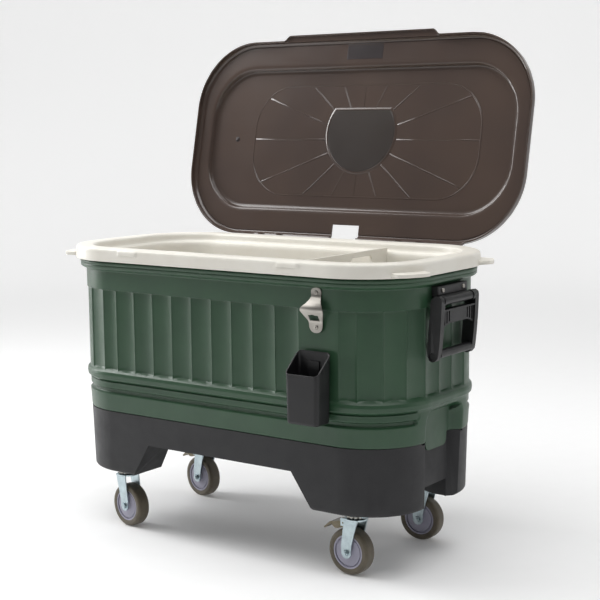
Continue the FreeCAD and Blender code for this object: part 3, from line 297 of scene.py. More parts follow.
def smokedPolycarbonate(name, colour, shade, rough, clear):
    # smoke-brown see-through plastic, polished: dark body colour, hard bright reflections
    material, tree, shader, mm = newMaterial(name, {
        "IOR": 1.52, "Transmission Weight": clear, "Coat Weight": 0.3, "Coat Roughness": 0.05})
    cloud = addNode(tree, "ShaderNodeTexNoise", {"Scale": 0.004, "Detail": 2.0}, {"Vector": mm})
    reach = addNode(tree, "ShaderNodeMapRange", {"From Min": 0.35, "From Max": 0.65},
                    {"Value": cloud.outputs["Fac"]})
    tone = addNode(tree, "ShaderNodeMix", {"data_type": "RGBA", 6: toLinear(colour), 7: toLinear(shade)},
                   {0: reach.outputs["Result"]})
    tree.links.new(tone.outputs[2], shader.inputs["Base Color"])
    haze = addNode(tree, "ShaderNodeTexNoise", {"Scale": 0.02, "Detail": 4.0}, {"Vector": mm})
    wear = addNode(tree, "ShaderNodeMapRange", {"To Min": rough - 0.05, "To Max": rough + 0.06},
                   {"Value": haze.outputs["Fac"]})
    tree.links.new(wear.outputs["Result"], shader.inputs["Roughness"])
    wave = addNode(tree, "ShaderNodeTexNoise", {"Scale": 0.008, "Detail": 1.0}, {"Vector": mm})
    bump = addNode(tree, "ShaderNodeBump", {"Strength": 0.15, "Distance": 0.001},
                   {"Height": wave.outputs["Fac"]})
    tree.links.new(bump.outputs["Normal"], shader.inputs["Normal"])
    return material


smokePlastic = smokedPolycarbonate(
    "smoke injection-moulded polycarbonate", "#54463f", "#4c403b", 0.2, 0.12)
smokeMatt = smokedPolycarbonate("spark-eroded smoke polycarbonate", "#37302c", "#332c29", 0.3, 0.1)
smokeRidged = smokedPolycarbonate("dark textured smoke polycarbonate", "#241a1c", "#201719", 0.3, 0.02)
print("finishes made")


# green shell

shellSizes = {
    "halfX": 462.0, "halfY": 216.0, "corner": 148.0,
    "ridges": (-382, -330, -288, -233.4, -176.9, -119.9, -62.8, -5.4, 50.6, 108.2, 168.4, 229.7,
               331.3, 371, 427.2, 479.3, 534.4, 589.6, 642.7, 697.7),
    "flute": 5.0, "fluteLow": 388.0, "fluteHigh": 576.0,
    "recessDepth": 24.0, "recessMouth": 80.0, "recessTop": 357.0, "recessHead": 30.0,
    "tongue": 28.0, "wall": 4.0,
}


def shellRidges(total):
    # ridges as measured on the front, right end and left corner, the same again on the far side
    front = np.array(shellSizes["ridges"], float)
    half = total / 2
    # the far side is the front turned half round, clipped where the two would meet
    both = np.concatenate([front, front + half])
    both = np.sort(np.mod(both, total))
    keep = np.concatenate([[True], np.diff(both) > 24])
    return both[keep]


def makeShell():
    # height field on the rounded-rectangle outline: point = outline(s) + normal * offset(s, z)
    w = shellSizes
    quarter = quarterLength(w["halfX"], w["halfY"], w["corner"])
    total = 4 * quarter
    ridges = shellRidges(total)
    columns = [np.arange(0, total, 6.5)]
    for d in (-3.2, -1.6, -0.6, 0.6, 1.6, 3.2):
        columns.append(np.mod(ridges + d, total))
    for end in (quarter, 3 * quarter):
        columns.append(end + np.arange(-118, 118.1, 2.4))
    s = np.unique(np.round(np.mod(np.concatenate(columns), total), 2))
    s = s[np.concatenate([np.diff(s) > 0.45, [True]])]
    low, high = w["fluteLow"], w["fluteHigh"]
    bodyProfile = softProfile([(288, -6), (290.5, -5), (293, -4), (320, -2.4), (330, -1.6), (345, -1.6),
                               (359, -1.6), (364, 0), (367, 3.2), (376, 4.4), (383, 3.2), (387, -1.5),
                               (low + 2, -2), (high - 1, -2), (high, 0), (621, 0.3), (624, 9),
                               (627, 13), (633, 14), (634.5, 12.6), (636, 14), (641, 14.6), (645, 11)], 1.1)
    z = np.unique(np.concatenate([
        np.arange(290, 296, 1.0), np.arange(296, 330, 4.0), np.arange(330, 390, 1.2),
        [391, 396, 410, 440, 480, 520, 550, 566, 571, 573.5], np.arange(575, 580, 0.8),
        [584, 592, 602, 612, 618], np.arange(620, 645.2, 1.2)]))
    alongGrid, upGrid = np.meshgrid(s, z)
    endDistance = np.abs(np.mod(alongGrid, 2 * quarter) - quarter)
    base = bodyProfile(upGrid)
    # flutes: a shallow round hollow between ridges, cut off square at top, run out at the foot
    index = np.searchsorted(ridges, s) % len(ridges)
    left = ridges[index - 1]
    right = ridges[index]
    span = np.mod(right - left, total)
    t = np.mod(s - left, total) / span
    flat = span > 90  # the plain pad where the bin hangs
    width = np.where(flat, 1, span)
    edgeRound = np.clip(np.minimum(t, 1 - t) * width / 1.6, 0, 1)
    hollow = np.sin(np.pi * t) ** 0.8 * w["flute"] * np.clip(span / 52, 0.65, 1.05) + 1.3 * edgeRound
    hollow = np.where(flat, 1.3 * edgeRound, hollow)
    window = step(upGrid, low - 1.5, low + 3.5) * (1 - step(upGrid, high - 1.0, high + 0.6))
    base = base - window * hollow[None, :]
    # grooves under the beads stop in round ends before the end recess
    for middle, half, deep, soft in ((339, 5.2, 7.4, 1.8), (361.4, 1.9, 4.2, 1.4)):
        past = np.maximum(108 + half - endDistance, 0)
        reach = np.hypot(past, upGrid - middle) - half
        base = base - deep * (1 - step(reach, -soft, soft))
    past = np.maximum(108 - endDistance, 0)
    inner = np.hypot(past, upGrid - 351) - 7.5
    base = base - 1.4 * (1 - step(inner, -2, 2))
    # end recess with an arched head and sloping cheeks
    head = w["recessHead"]
    dy = np.maximum(endDistance - (w["recessMouth"] - head), 0)
    dz = np.maximum(upGrid - (w["recessTop"] - head), 0)
    outside = np.hypot(dy, dz) - head
    slope = np.where(dz > dy, 12.0, 26.0)
    deep = step(-outside, -1.5, slope)
    floorDepth = -w["recessDepth"]
    recessed = base * (1 - deep) + floorDepth * deep
    base = np.where(upGrid < w["recessTop"] + 6, recessed, base)
    # tongue: the lowest rows hang down inside the recess
    tongueWide, tongueBend = 44.0, 15.0
    over = np.clip(endDistance - (tongueWide - tongueBend), 0, tongueBend)
    drop = np.where(endDistance < tongueWide,
                    w["tongue"] - tongueBend + np.sqrt(np.maximum(tongueBend ** 2 - over ** 2, 0)), 0)
    drop = drop * (1 - step(endDistance, tongueWide - 0.5, tongueWide + 3.0))
    height = upGrid - drop * (1 - step(upGrid, 290, 318))
    point, normal = outline(w["halfX"], w["halfY"], w["corner"], s)
    outer = np.concatenate([point[None] + normal[None] * base[..., None], height[..., None]], -1)
    # inside wall: a wall's thickness behind the lowest place within 20 mm up or down
    pick = np.unique(np.concatenate([np.arange(0, len(z), 7), [len(z) - 1]]))[::-1]
    lowest = np.array([base[np.abs(z - z[k]) < 20].min(0) for k in pick])
    inside = outer[pick].copy()
    inside[..., :2] = point[None] + normal[None] * (lowest - w["wall"])[..., None]
    grid = np.concatenate([outer, inside], 0)
    rows, cols = grid.shape[:2]
    piece = putMesh("shell_surface", tubSpace(grid.reshape(-1, 3)),
                    gridFaces(rows, cols, wrapRows=True, wrapColumns=True), 50)
    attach(piece, "cooler_body")
    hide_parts("outer_shell")
    piece.data.materials.append(greenPolyethylene)
    return piece


makeShell()
print("shell made")


# white liner and rim

rimSizes = {
    "halfX": 480.0, "halfY": 241.5, "corner": 166.6,
    "earAngle": 27.0, "earHalf": 39.0, "earReach": 29.0,
    "padLow": 197.0, "padHigh": 252.0, "padProud": 1.3,
}


def makeLiner():
    # profile of (offset, height) carried round the rim's outline; ears and pads are added to the offset
    w = rimSizes
    quarter = quarterLength(w["halfX"], w["halfY"], w["corner"])
    total = 4 * quarter
    outerKnots = [(0, 645.6), (0.6, 647.4), (0.6, 649), (0.4, 656), (0.3, 657.5), (0.0, 661), (0, 662),
                  (-0.2, 667), (-0.5, 670.5), (-1.4, 673), (-3.0, 674.6), (-5.2, 675.6), (-9, 676),
                  (-20, 676), (-34, 675.8),
                  (-38, 675.4), (-40.5, 674.2), (-42.4, 672.2), (-43.4, 669.5), (-44.4, 664),
                  (-45.4, 659), (-47.5, 657.2), (-53, 656.4), (-56, 655.2), (-58, 652.5), (-59.2, 646),
                  (-60, 640), (-62, 600), (-66, 520), (-71, 420), (-75.5, 320), (-77.4, 288), (-79, 281),
                  (-82, 278), (-86, 277)]
    innerKnots = [(-86, 274), (-80, 274), (-74.5, 280), (-72, 318), (-58.5, 600), (-55, 648), (-50, 653),
                  (-42, 656), (-40, 664), (-38, 671.5), (-30, 672.5), (-10, 672.5), (-5.5, 670),
                  (-3.5, 666), (-3.5, 645.6)]
    corner = w["corner"]
    # the ear's middle, as a length along the outline; the angle is from the X axis on the corner arc
    earAt = w["halfX"] - corner + corner * (math.radians(90 - w["earAngle"]))
    ears = [earAt, 2 * quarter - earAt, 2 * quarter + earAt, 4 * quarter - earAt]
    columns = [np.arange(0, total, 9.0)]
    for ear in ears:
        columns.append(ear + np.arange(-46, 46.1, 2.3))
        columns.append(ear + np.array([-39.6, -39.2, -38.6, 38.6, 39.2, 39.6]))
    for side in (1, -1):
        for edge in (w["padLow"], w["padHigh"]):
            columns.append(np.mod(side * edge + np.array([-1.2, 0, 1.2]), total))
    s = np.unique(np.round(np.mod(np.concatenate(columns), total), 2))
    knots = np.array(outerKnots + innerKnots)
    offset = np.repeat(knots[:, :1], len(s), 1)
    height = np.repeat(knots[:, 1:], len(s), 1)
    for ear in ears:
        d = np.abs(np.mod(s - ear + total / 2, total) - total / 2) / w["earHalf"]
        bulge = np.clip(1 - d ** 5, 0, 1) ** 0.4 * w["earReach"]
        for row, share in ((2, 1.0), (3, 1.0)):
            offset[row] += bulge * share
    for row in (6, 7, 8):
        around = np.abs(np.where(s > total / 2, s - total, s))
        pad = step(around, w["padLow"] - 1, w["padLow"] + 1)
        pad = pad * (1 - step(around, w["padHigh"] - 1, w["padHigh"] + 1))
        offset[row] += w["padProud"] * pad
    point, normal = outline(w["halfX"], w["halfY"], w["corner"], s)
    grid = np.concatenate([point[None] + normal[None] * offset[..., None], height[..., None]], -1)
    rows, cols = grid.shape[:2]
    faces = gridFaces(rows, cols, wrapRows=False, wrapColumns=True)
    seam = gridFaces(2, cols, wrapColumns=True)
    last = (rows - 1) * cols
    faces += [[(v if v >= cols else v + last) if v < cols else v - cols for v in f] for f in seam]
    piece = putMesh("liner_surface", tubSpace(grid.reshape(-1, 3)), faces, 45)
    # floor of the tub: closed inside the profile's lowest rows
    shape = bmesh.new()
    shape.from_mesh(piece.data)
    shape.verts.ensure_lookup_table()
    lowRow, underRow = len(outerKnots) - 1, len(outerKnots)
    for row in (lowRow, underRow):
        shape.faces.new([shape.verts[row * cols + c] for c in range(cols)])
    joins = [f for f in shape.faces if len(f.verts) == 4
             and {v.index // cols for v in f.verts} == {lowRow, underRow}]
    bmesh.ops.delete(shape, geom=joins, context="FACES_ONLY")
    bmesh.ops.recalc_face_normals(shape, faces=shape.faces)
    shape.to_mesh(piece.data)
    shape.free()
    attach(piece, "cooler_body")
    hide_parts("inner_liner")
    piece.data.materials.append(whitePolypropylene)
    return piece


makeLiner()
print("liner and rim made")


# smoke lid

lidSizes = {
    "halfX": 489.4, "halfY": 250.0, "corner": 171.0, "low": 660.0, "skirt": 20.3, "rise": 13.0,
    "ridgeX": 448.0, "ridgeY": 182.0, "ridgeCorner": 128.0, "wall": 3.5,
    "pullHalf": 229.0, "pullOut": 13.0, "flangeLow": -266.0, "flangeHigh": 350.0, "flangeOut": 4.3,
    "notchLow": -27.0, "notchHigh": 52.0, "angle": 102.1, "hingeY": 263.0, "pinRadius": 3.0,
    "ringX": 331.0, "ringY": 140.0, "ringCorner": 108.0, "ringMiddle": (22.0, 3.0),
    "hub": (18.0, 0.0), "badge": 103.0, "badgeMiddle": -18.0, "badgeTop": -79.0, "raised": 0.75,
    # shelf between the ridge and the rim, each as half length, half width and corner radius
    "shelf": (462.0, 215.0, 150.0), "shelfEdge": (470.0, 223.0, 156.0),
    # past sideY a point is on the long front or back side; straightY is where columns run straight to
    "sideY": 150.0, "straightY": 215.0, "straightMiddle": 12.0,
}
# the sixteen raised spokes, as points on the ring, seen from above with the front towards minus y
lidSpokes = [(18, -137), (82, -138), (179, -136), (314, -103), (351, 0), (306, 111), (178, 141),
             (81, 141), (16, 139), (-49, 141), (-134, 138), (-275, 111), (-301, 0), (-274, -108),
             (-136, -136), (-46, -138)]


def openLid(points):
    # turn back about the hinge line by the lid's angle, then to the frame's origin
    a = math.radians(-lidSizes["angle"])
    y = points[:, 1] - lidSizes["hingeY"]
    z = points[:, 2] - lidSizes["low"]
    turned = np.stack([points[:, 0], y * math.cos(a) - z * math.sin(a) + lidSizes["hingeY"],
                       y * math.sin(a) + z * math.cos(a) + lidSizes["low"]], -1)
    return tubSpace(turned)


def byAngle(points, angles):
    # distance of a closed outline from the lid's hub along each angle
    d = points - np.array(lidSizes["hub"])
    turn = np.arctan2(d[:, 1], d[:, 0])
    order = np.argsort(turn)
    return np.interp(angles, turn[order], np.hypot(d[:, 0], d[:, 1])[order], period=2 * math.pi)


def roundedByAngle(halfX, halfY, corner, angles, middle=(0.0, 0.0)):
    s = np.linspace(0, 4 * quarterLength(halfX, halfY, corner), 9000, endpoint=False)
    return byAngle(outline(halfX, halfY, corner, s)[0] + np.array(middle), angles)


def badgeByAngle(grow, angles):
    # circle with its front cut off straight
    w = lidSizes
    turn = np.linspace(0, 2 * math.pi, 9000, endpoint=False)
    y = w["badgeMiddle"] + (w["badge"] + grow) * np.sin(turn)
    return byAngle(np.stack([w["hub"][0] + (w["badge"] + grow) * np.cos(turn),
                             np.maximum(y, w["badgeTop"] - grow)], -1), angles)


def lidColumns():
    # angle of each column, its sideways shift in mm, and whether it lies on a spoke
    w = lidSizes
    hubX, hubY = w["hub"]
    total = 4 * quarterLength(w["halfX"], w["halfY"], w["corner"])
    rim = outline(w["halfX"], w["halfY"], w["corner"], np.arange(0, total, 7.5))[0]
    extraX = np.concatenate([side * w["pullHalf"] + np.arange(-22, 4, 3.0) * side for side in (1, -1)])
    extra = np.stack([extraX, np.full(len(extraX), -w["halfY"])], -1)
    corners = np.array([(hubX + side * (math.sqrt(w["badge"] ** 2 - 61 ** 2) + d), w["badgeTop"])
                        for side in (1, -1) for d in (-1.5, 0, 1.5)])
    rows = np.concatenate([rim, extra, corners])
    angles = np.mod(np.arctan2(rows[:, 1] - hubY, rows[:, 0] - hubX), 2 * math.pi)
    spokes = np.mod([math.atan2(y - hubY, x - hubX) for x, y in lidSpokes], 2 * math.pi)
    gap = np.abs(np.mod(angles[:, None] - spokes[None] + math.pi, 2 * math.pi) - math.pi).min(1)
    angles = np.sort(angles[gap > 0.045])
    angles = angles[np.concatenate([np.diff(angles) > 0.0016, [True]])]
    table = [(a, 0.0, 0.0) for a in angles]
    for a in spokes:
        table += [(a, -3.2, 0.0), (a, -1.7, 0.0), (a, -0.9, 1.0),
                  (a, 0.9, 1.0), (a, 1.7, 0.0), (a, 3.2, 0.0)]
    for edge in (w["notchLow"], w["notchHigh"]):
        table += [(math.atan2(215.0 - hubY, edge - hubX), 0.0, 0.0)]
    table.sort(key=lambda row: (round(row[0], 6), row[1]))
    return np.array(table)


def makeLid():
    # stations from the hub out to the rim; each has an outer and an inner height
    w = lidSizes
    table = lidColumns()
    angles, shift, onSpoke = table[:, 0], table[:, 1], table[:, 2]
    z0, z1 = w["low"], w["low"] + w["skirt"]
    z2 = z1 + w["rise"]
    up = w["raised"]

    def rounded(halfX, halfY, corner, grow, middle=(0.0, 0.0)):
        # the outline's point at each column; spoke columns stand off their spoke by the shift
        reach = roundedByAngle(halfX, halfY, corner, angles, middle)
        turn = angles + shift / reach
        radius = roundedByAngle(halfX + grow, halfY + grow, corner + grow, turn, middle)
        return np.array(w["hub"]) + radius[:, None] * np.stack([np.cos(turn), np.sin(turn)], -1)

    def badge(grow, share=1.0):
        turn = angles + shift / badgeByAngle(0, angles)
        radius = badgeByAngle(grow, turn) * share
        return np.array(w["hub"]) + radius[:, None] * np.stack([np.cos(turn), np.sin(turn)], -1)

    def ring(grow):
        return rounded(w["ringX"], w["ringY"], w["ringCorner"], grow, w["ringMiddle"])

    def ridge(grow):
        return rounded(w["ridgeX"], w["ridgeY"], w["ridgeCorner"], grow)

    def rim(grow):
        return rounded(w["halfX"], w["halfY"], w["corner"], grow)

    inner = z2 - w["wall"]
    ringIn, badgeOut = ring(-3.4), badge(2.0)
    stations = [  # place outside, place inside, height outside, height inside, spoke share, raise, zone
        (badge(0, 0.25),) * 2 + (z2, inner, 0, 1, 0), (badge(0, 0.85),) * 2 + (z2, inner, 0, 1, 0)]
    for grow, raised in ((-8.6, 1), (-7.4, 1), (-6.8, 0.15), (-5.0, 0.15), (-4.4, 1), (-0.4, 1), (0.6, 0)):
        stations.append((badge(grow),) * 2 + (z2, inner, 0, raised, 0))
    for share in (0.0, 0.006, 0.33, 0.66, 0.994, 1.0):
        spoke = 0.0 if share in (0.0, 1.0) else 1.0
        stations.append((badgeOut + (ringIn - badgeOut) * share,) * 2 + (z2, inner, spoke, 0, 1))
    for grow, raised in ((-1.7, 0), (-0.9, 1), (0.9, 1), (1.7, 0), (3.2, 0)):
        stations.append((ring(grow),) * 2 + (z2, inner, 0, raised, 1))
    for out, into, high, under in (
            (-30, -32, z2, inner), (-12, -15, z2, inner), (-3, -7.4, z2, inner - 0.1),
            (-0.6, -5.0, z2 - 0.7, inner - 1.5), (1.6, -2.2, z2 - 2.6, z1 - 1.6),
            (3.4, -0.6, z1 + 3.4, z1 - 3.2), (4.6, 1.6, z1 + 1.4, z1 - 3.9),
            (7.0, 9.0, z1 + 0.4, z1 - 4.1), (12, 13, z1 + 0.1, z1 - 4.1)):
        stations.append((ridge(out), ridge(into), high, under, 0, 0, 2))
    for size in (w["shelf"], w["shelfEdge"]):
        shelf = rounded(*size, 0)
        stations.append((shelf, shelf, z1, z1 - 4.1, 0, 0, 3))
    for out, into, high, under in (
            (-9.0, -12.5, z1 - 0.1, z1 - 4.2), (-7.0, -11.0, z1 - 0.2, z1 - 3.0),
            (-5.6, -9.6, z1 - 0.4, z1 - 3.0), (-4.2, -8.0, z1 - 0.7, z1 - 4.2),
            (-2.0, -5.4, z1 - 1.9, z1 - 5.6), (-0.6, -3.9, z1 - 4, z1 - 8),
            (0.0, -3.5, z1 - 8, z1 - 11), (0.0, -3.5, z0 + 7, z0 + 7), (0.0, -3.5, z0 + 5, z0 + 5),
            (0.0, -3.5, z0 + 0.8, z0 + 0.8), (-0.8, -2.8, z0 + 0.1, z0 + 0.1)):
        stations.append((rim(out), rim(into), high, under, 0, 0, 4))

    slant = np.cos(angles) / np.maximum(np.abs(np.sin(angles)), 0.2)
    straight = w["hub"][0] + w["straightY"] * slant
    count = len(stations)
    sheets = np.zeros((2, count, len(angles), 3))
    for k, (out, into, high, under, spoke, raised, zone) in enumerate(stations):
        lift = up * np.maximum(raised, spoke * onSpoke)
        for sheet, xy, level in ((0, out, high + lift * 0.6), (1, into, under - lift)):
            x, y = xy[:, 0].copy(), xy[:, 1].copy()
            if zone >= 3:
                # near the notch the columns run straight back
                near = 1 - step(np.abs(x - w["straightMiddle"]), 70, 190)
                near = near * (y > w["sideY"]) * (np.abs(shift) < 0.01)
                x = x * (1 - near) + straight * near
                if k >= count - 3:
                    flange = step(x, w["flangeLow"] - 3, w["flangeLow"])
                    flange = flange * (1 - step(x, w["flangeHigh"], w["flangeHigh"] + 3))
                    y = y + w["flangeOut"] * flange * (y > w["sideY"])
                    tab = 1 - step(np.abs(x), w["pullHalf"] - 19, w["pullHalf"])
                    y = y - tab * w["pullOut"] * (y < -w["sideY"])
            sheets[sheet, k] = np.stack([x, y, np.broadcast_to(level, x.shape)], -1)
    return buildLid(sheets, count, len(angles))


def buildLid(sheets, count, columns):
    # both sheets, the rim edge, and walls round the notch at the back
    w = lidSizes
    closed = sheets.reshape(-1, 3)
    edgeX, edgeY = sheets[0, count - 2, :, 0], sheets[0, count - 2, :, 1]
    middleX = (edgeX + np.roll(edgeX, -1)) / 2
    inNotch = (middleX > w["notchLow"]) & (middleX < w["notchHigh"]) & (edgeY > w["sideY"])
    keep = np.ones((count - 1, columns), bool)
    keep[count - 13:, inNotch] = False
    faces = sheetFaces(keep, count, columns)
    faces.append([c for c in range(columns)])
    faces.append([count * columns + c for c in reversed(range(columns))])
    piece = putMesh("lid_surface", openLid(closed), faces, 38)
    # the badge, left blank, has a matt skin: every face whose centre is within its outline
    middles = np.array([closed[f].mean(0)[:2] for f in faces]) - np.array(w["hub"])
    limit = badgeByAngle(-5.5, np.arctan2(middles[:, 1], middles[:, 0]))
    inBadge = np.hypot(middles[:, 0], middles[:, 1]) < limit
    piece.data.polygons.foreach_set("material_index", inBadge.astype(np.int32))
    makeFacesPointOut(piece)
    piece.data.set_sharp_from_angle(angle=math.radians(38))
    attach(piece, "lid_body")
    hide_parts("lid")
    piece.data.materials.append(smokePlastic)
    piece.data.materials.append(smokeMatt)
    return piece


def lathe(profile, origin, axis, turnSteps=48):
    # closed profile of (distance along the axis, radius) turned round an axis through the origin
    axis = Vector(axis).normalized()
    side = axis.orthogonal().normalized()
    other = axis.cross(side)
    turn = np.linspace(0, 2 * math.pi, turnSteps, endpoint=False)
    profile = np.array(profile, float)
    ring = np.cos(turn)[:, None] * np.array(side) + np.sin(turn)[:, None] * np.array(other)
    grid = (np.array(origin) + profile[:, None, :1] * np.array(axis) + profile[:, None, 1:] * ring[None])
    rows = len(profile)
    faces = gridFaces(rows, turnSteps, wrapRows=True, wrapColumns=True)
    return grid.reshape(-1, 3), faces


def makeKnuckles():
    # two barrels at each hinge, each on an arm that runs forward into the skirt
    w = lidSizes
    points, faces = [], []

    def add(more, moreFaces):
        start = sum(len(p) for p in points)
        points.append(more)
        faces.extend([[v + start for v in f] for f in moreFaces])

    bore = w["pinRadius"] + 0.05
    for middle in (-205, 205):
        for start in (middle - 38, middle + 20):
            x0, x1 = start, start + 18
            profile = [(x0, bore), (x0, 7.3), (x0 + 0.25, 7.8), (x0 + 0.8, 8.0), (x1 - 0.8, 8.0),
                       (x1 - 0.25, 7.8), (x1, 7.3), (x1, bore)]
            add(*lathe(profile, (0, w["hingeY"], w["low"]), (1, 0, 0)))
            # arm: a slab under the barrel's upper half, thinning towards the skirt
            outlineYz = np.array([(247.2, 660.6), (247.2, 671.4), (248.2, 672.4), (252.0, 671.2),
                                  (258.0, 668.6), (262.0, 668.0), (262.0, 660.6)])
            for k, x in enumerate((x0 + 0.3, x0 + 1.0, x1 - 1.0, x1 - 0.3)):
                shrink = 0.96 if k in (0, 3) else 1.0
                middleYz = outlineYz.mean(0)
                ringYz = middleYz + (outlineYz - middleYz) * shrink
                add(np.column_stack([np.full(len(ringYz), x), ringYz]), [])
            base = sum(len(p) for p in points) - 28
            faces.extend([[base + v for v in f] for f in gridFaces(4, 7, wrapColumns=True)])
            faces.append([base + k for k in range(7)])
            faces.append([base + 21 + k for k in reversed(range(7))])
    piece = putMesh("lid_knuckles", openLid(np.concatenate(points)), faces, 35)
    makeFacesPointOut(piece)
    piece.data.set_sharp_from_angle(angle=math.radians(35))
    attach(piece, "lid_body")
    piece.data.materials.append(smokePlastic)


def makeLidGrip():
    # finely ridged patch inside the front ledge, and the stud of the moulding gate
    w = lidSizes
    level = w["low"] + w["skirt"] - 4.1
    x = np.linspace(-39, 66, 106)
    y = np.concatenate([[-238.2], np.arange(-237.4, -200.2, 0.93), [-199.4]])
    gridX, gridY = np.meshgrid(x, y)
    wave = 0.5 + 0.5 * np.cos((gridY + 237.4) / 3.7 * 2 * math.pi)
    inside = (gridX > x[0]) & (gridX < x[-1]) & (gridY > y[0]) & (gridY < y[-1])
    drop = np.where(inside, 0.05 + 0.1 * wave, 0.01)
    lower = np.stack([gridX, gridY, level - drop], -1)
    upper = np.stack([gridX, gridY, np.full(gridX.shape, level + 0.6)], -1)
    rows, cols = gridX.shape
    faces = gridFaces(rows, cols) + [f[::-1] for f in gridFaces(rows, cols, start=rows * cols)]
    border = ([c for c in range(cols)] + [r * cols + cols - 1 for r in range(1, rows)]
              + [(rows - 1) * cols + c for c in range(cols - 2, -1, -1)]
              + [r * cols for r in range(rows - 2, 0, -1)])
    for k, v in enumerate(border):
        following = border[(k + 1) % len(border)]
        faces.append([v, following, following + rows * cols, v + rows * cols])
    points = np.concatenate([lower.reshape(-1, 3), upper.reshape(-1, 3)])
    piece = putMesh("lid_grip_patch", openLid(points), faces, 50)
    makeFacesPointOut(piece)
    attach(piece, "lid_body")
    piece.data.materials.append(smokeRidged)
    deep = w["low"] + w["skirt"] + w["rise"] - 3.5
    profile = [(0.5, 0.0), (0.5, 6.4), (-0.5, 6.2), (-0.9, 5.6), (-0.9, 4.6), (-0.4, 4.2), (-0.5, 3.0),
               (-2.2, 2.6), (-3.0, 1.8), (-3.2, 0.0)]
    points, faces = lathe(profile, (-366, 0, deep), (0, 0, 1))
    stud = putMesh("lid_gate_stud", openLid(points), faces, 40)
    makeFacesPointOut(stud)
    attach(stud, "lid_body")
    stud.data.materials.append(smokeRidged)


makeLid()
makeKnuckles()
makeLidGrip()
print("lid made")


# catch bin

binSizes = {
    "middle": (278.0, -247.85), "halfX": 42.0, "halfY": 25.3, "corner": 9.0, "narrow": 3.0,
    "low": 342.0, "front": 447.0, "back": 490.0, "wall": 2.5,
    "slotHalf": 6.7, "slotLow": 430.4, "slotHigh": 470.4,
    "keyHalf": 16.5, "keyLow": 406.0, "keyHigh": 442.0,
}


def makeBin():
    # rounded rectangle swept up with a little draft; the top is sheared up towards the back
    w = binSizes
    total = 4 * quarterLength(w["halfX"], w["halfY"], w["corner"])
    half = total / 2
    s = [np.arange(0, total, 4.0)]
    flat, bend = w["halfX"] - w["corner"], w["corner"] * math.pi / 2
    for cornerStart in (flat, half - flat - bend, half + flat, total - flat - bend):
        s.append(cornerStart + np.linspace(0, bend, 9))
    for x in (-w["keyHalf"], -w["slotHalf"], w["slotHalf"], w["keyHalf"]):
        s.append([half - x])
    s = np.unique(np.round(np.mod(np.concatenate(s), total), 3))
    s = s[np.concatenate([np.diff(s) > 0.3, [True]])]
    point, normal = outline(w["halfX"], w["halfY"], w["corner"], s)
    backHeight = w["back"] - w["low"]
    cuts = [(w[key] - w["low"]) / backHeight for key in ("keyLow", "slotLow", "keyHigh", "slotHigh")]
    share = np.unique(np.concatenate([[0.07, 0.16, 0.28], cuts, [0.5, 0.8, 0.93, 0.965]]))
    top = w["front"] + (w["back"] - w["front"]) * (point[:, 1] + w["halfY"]) / (2 * w["halfY"])
    rowsOut = [(-5.0, 0.0, 0), (-3.2, 0.35, 0), (-1.5, 1.4, 0), (-0.45, 3.0, 0), (0.0, 5.2, 0)]
    rowsOut += [(0.0, 0.0, f) for f in share]
    rowsOut += [(0.55, -3.4, 1), (0.75, -1.6, 1), (0.3, -0.5, 1), (-0.6, 0.0, 1)]  # rounded lip
    sheets = []
    for inward in (0.0, w["wall"]):
        rows = []
        for offset, rise, f in rowsOut:
            level = w["low"] + f * (top - w["low"]) + rise + inward * (f == 0)
            draft = w["narrow"] * (1 - np.clip((level - w["low"]) / backHeight, 0, 1))
            shift = offset - inward if offset <= 0 or not inward else -inward
            if inward and f == 1:
                shift = {0.55: -2.5, 0.75: -2.5, 0.3: -2.3, -0.6: -1.5}[offset]
            xy = point + normal * shift
            xy = xy * np.stack([1 - draft / w["halfX"], np.ones(len(s))], -1)
            rows.append(np.concatenate([xy, np.broadcast_to(level, (len(s),))[:, None]], -1))
        sheets.append(rows)
    grid = np.array(sheets) + np.array([*w["middle"], 0.0])
    count, columns = grid.shape[1:3]
    levels = np.array([rise + f * backHeight for _, rise, f in rowsOut])
    middle = (levels[:-1] + levels[1:]) / 2 + w["low"]
    xMiddle = (point[:, 0] + np.roll(point[:, 0], -1)) / 2
    onBack = (point[:, 1] > w["halfY"] - 0.1) & (np.roll(point[:, 1], -1) > w["halfY"] - 0.1)
    # keyhole in the back wall: a wide part under a narrow one
    keyRows = (middle > w["keyLow"]) & (middle < w["keyHigh"])
    slotRows = (middle > w["slotLow"]) & (middle < w["slotHigh"])
    key = (np.abs(xMiddle) < w["keyHalf"])[None] & keyRows[:, None]
    slot = (np.abs(xMiddle) < w["slotHalf"])[None] & slotRows[:, None]
    keep = ~((key | slot) & onBack[None])
    faces = sheetFaces(keep, count, columns)
    faces.append([c for c in range(columns)])
    faces.append([count * columns + c for c in reversed(range(columns))])
    piece = putMesh("catch_bin_body", tubSpace(grid.reshape(-1, 3)), faces, 40)
    makeFacesPointOut(piece)
    piece.data.set_sharp_from_angle(angle=math.radians(40))
    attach(piece, "catch_bin")
    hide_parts("cap_catch_bin")
    piece.data.materials.append(blackAbs)


makeBin()
print("bin made")


# bottle opener

